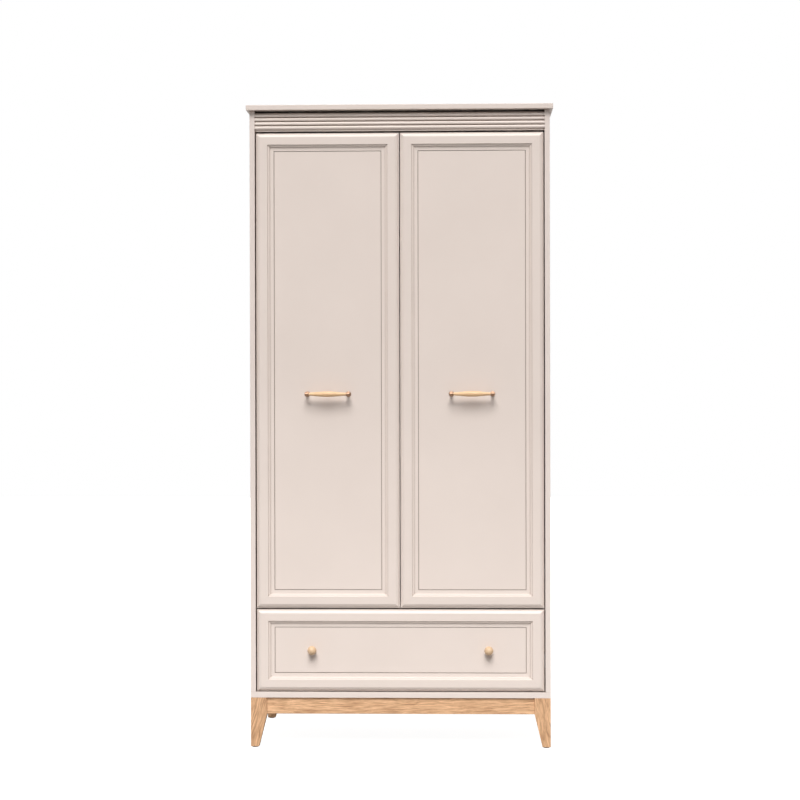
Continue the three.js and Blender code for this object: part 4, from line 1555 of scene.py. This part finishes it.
@dataclass
class DrawerSlides:
    """Two ball-bearing slides, each of three nested channels with balls between them."""

    palette: Palette
    wall: float = 1.2 * MM
    hole: float = 2.6 * MM
    hole_shares: tuple[float, ...] = (0.12, 0.32, 0.68, 0.88)
    ball: float = 1.3 * MM
    ball_in: float = 5 * MM
    ball_pitch: float = 24 * MM
    balls: int = 8

    def channel(self, part: str, flat_low: bool) -> Piece:
        """Makes one channel of the left slide.

        Args:
            part: outer, middle or inner.
            flat_low: whether its web is on the side panel's side.

        Returns:
            The channel.
        """
        box = Box.of(f"left_slide_{part}")
        web, tip = (box.low.x, box.high.x) if flat_low else (box.high.x, box.low.x)
        step = math.copysign(self.wall, tip - web)
        corners = [
            (web, box.low.z),
            (tip, box.low.z),
            (tip, box.low.z + self.wall),
            (web + step, box.low.z + self.wall),
            (web + step, box.high.z - self.wall),
            (tip, box.high.z - self.wall),
            (tip, box.high.z),
            (web, box.high.z),
        ]
        outline = eased([Vector((x, box.low.y, z)) for x, z in corners], 0.9 * MM, 3)
        channel = Piece.drawn(f"left_{part}_channel", outline, Y * box.size.y)
        for share in self.hole_shares:
            middle = Vector((web, box.low.y + box.size.y * share, box.centre.z))
            reach = X * 4 * MM
            channel.carve(Piece.rod("hole", middle - reach, middle + reach, self.hole, 16))
        return channel.paint(self.palette.zinc)

    def ball_cage(self) -> Piece:
        """Makes the balls that run between the left slide's outer and middle channels, as one piece."""
        outer, middle = Box.of("left_slide_outer"), Box.of("left_slide_middle")
        gap = (outer.high.z - self.wall + middle.high.z) / 2
        x = middle.low.x + self.ball_in
        start = middle.high.y - self.ball_pitch * (self.balls + 1)
        radius = min(self.ball, (outer.high.z - self.wall - middle.high.z) / 2)
        places = [
            Vector((x, start + row * self.ball_pitch, z))
            for row in range(self.balls)
            for z in (gap, 2 * outer.centre.z - gap)
        ]
        size = {"segments": 12, "ring_count": 8, "radius": radius}
        ball = add_object(bpy.ops.mesh.primitive_uv_sphere_add, location=places[0], **size)
        return Piece("left_ball_cage", ball).repeat(places).paint(self.palette.chrome)

    def build(self) -> None:
        """Makes both slides."""
        bodies = {"outer": Body.CARCASS, "middle": Body.LEFT_CARRIAGE, "inner": Body.DRAWER}
        for part, body in bodies.items():
            channel = self.channel(part, part != "inner")
            channel.fit_both(body, Slot.ZINC, f"left_slide_{part}")
        self.ball_cage().fit_both(Body.LEFT_CARRIAGE, Slot.CHROME)


@dataclass
class Studio:
    """A pale paper floor, a soft sun from above the camera, a dome bright behind, and the camera."""

    floor_half: float = 14.0
    paper_glow: float = 0.92
    sun_up: float = 51
    sun_left: float = 2
    sun_wide: float = 34
    sun_strength: float = 3.5
    back_sun: tuple[float, float, float, float] = (30, 180, 60, 0.4)
    fill_place: Vector = field(default_factory=lambda: Vector((0, -2.4, 1.5)))
    fill_aim: Vector = field(default_factory=lambda: Vector((0, -0.26, 0.05)))
    fill_size: tuple[float, float] = (2.4, 0.3)
    fill_spread: float = 50
    fill_watts: float = 1.2
    dome_front: float = 0.15
    dome_rear: float = 1.1
    dome_lean: float = -1.0
    dome_span: tuple[float, float] = (-0.4, 0.2)
    eye: Vector = field(default_factory=lambda: Vector((0.186, -6.265, 1.107)))
    pitch: float = -0.235
    yaw: float = 1.77
    roll: float = -0.12
    lens: float = 86.85

    def floor(self) -> None:
        """Lays the floor, of paper that glows to the camera so that its shadows stay faint."""
        half = self.floor_half
        sheet = Piece.block("studio_floor", Vector((-half, -half, -0.02)), Vector((half, half, 0)))
        paper = STUDIO_PAPER.make()
        tree = paper.node_tree
        shader = next(node for node in tree.nodes if node.type == "BSDF_PRINCIPLED")
        ray = add_node(tree, "ShaderNodeLightPath", output="Is Camera Ray")
        shares = {0: ray, 1: self.paper_glow}
        glow = add_node(tree, "ShaderNodeMath", shares, "Value", operation="MULTIPLY")
        tree.links.new(glow, shader.inputs["Emission Strength"])
        shader.inputs["Emission Color"].default_value = (1, 1, 1, 1)
        sheet.soften(5 * MM, 2).paint(paper)

    def lights(self) -> None:
        """Hangs the key light, a weak one behind and a long soft box aimed at the drawer."""
        key_sun = (self.sun_up, self.sun_left, self.sun_wide, self.sun_strength)
        suns = {"key_sun": key_sun, "back_sun": self.back_sun}
        for name, (up, around, wide, strength) in suns.items():
            turn = Euler((math.radians(90 - up), 0, math.radians(-around)), "XYZ")
            light = add_object(bpy.ops.object.light_add, type="SUN", rotation=turn)
            light.name = name
            light.data.energy = strength
            light.data.angle = math.radians(wide)
        turn = (self.fill_place - self.fill_aim).to_track_quat("Z", "Y").to_euler()
        place = self.fill_place
        fill = add_object(bpy.ops.object.light_add, type="AREA", location=place, rotation=turn)
        fill.name = "long_soft_box"
        fill.data.shape = "RECTANGLE"
        fill.data.size, fill.data.size_y = self.fill_size
        fill.data.spread = math.radians(self.fill_spread)
        fill.data.energy = self.fill_watts
        fill.visible_camera = False

    def dome(self) -> None:
        """Hangs a dome that is dim in front, so that the key light draws the mouldings."""
        world = bpy.data.worlds.new("studio_dome")
        world.use_nodes = True
        bpy.context.scene.world = world
        tree = world.node_tree
        tree.nodes.clear()
        way = add_node(tree, "ShaderNodeTexCoord", output="Generated")
        rearward = {0: way, 1: (0, 1, self.dome_lean)}
        depth = add_node(tree, "ShaderNodeVectorMath", rearward, "Value", operation="DOT_PRODUCT")
        low, high = self.dome_span
        span = {"From Min": low, "From Max": high, "To Min": self.dome_front, "To Max": self.dome_rear}
        strength = add_node(
            tree, "ShaderNodeMapRange", {"Value": depth, **span}, "Result", interpolation_type="SMOOTHSTEP"
        )
        white = (1, 1, 1, 1)
        lit = {"Color": white, "Strength": strength}
        seen = {"Color": white, "Strength": 1.0}
        sky, paper = (add_node(tree, "ShaderNodeBackground", look, "Background") for look in (lit, seen))
        ray = add_node(tree, "ShaderNodeLightPath", output="Is Camera Ray")
        mix = add_node(tree, "ShaderNodeMixShader", {0: ray, 1: sky, 2: paper}, "Shader")
        add_node(tree, "ShaderNodeOutputWorld", {"Surface": mix})

    def camera(self) -> None:
        """Sets up the camera in front of the doors."""
        turn = Matrix.Rotation(math.radians(self.yaw), 4, "Z")
        turn @= Matrix.Rotation(math.radians(90 + self.pitch), 4, "X")
        turn @= Matrix.Rotation(math.radians(self.roll), 4, "Z")
        turned = turn.to_euler()
        camera = add_object(bpy.ops.object.camera_add, location=self.eye, rotation=turned)
        camera.name = "studio_camera"
        camera.data.lens = self.lens
        camera.data.sensor_width = 36
        camera.data.clip_end = 100
        bpy.context.scene.camera = camera
        bpy.context.scene.view_settings.view_transform = "Standard"
        bpy.context.scene.view_settings.look = "None"

    def build(self) -> None:
        """Makes the whole set."""
        self.floor()
        self.lights()
        self.dome()
        self.camera()


def main() -> None:
    """Builds the wardrobe sub-assembly by sub-assembly, then the set."""
    logging.basicConfig(level=logging.INFO, format="%(name)s: %(message)s")
    Studio().build()
    palette = Palette()
    LegFrame(palette).build()
    Carcass(palette).build()
    for side in Side:
        Door(side, palette).build()
    CupHinges(palette).build()
    Drawer(palette).build()
    DrawerSlides(palette).build()
    bpy.ops.object.select_all(action="DESELECT")


if __name__ == "__main__":
    main()
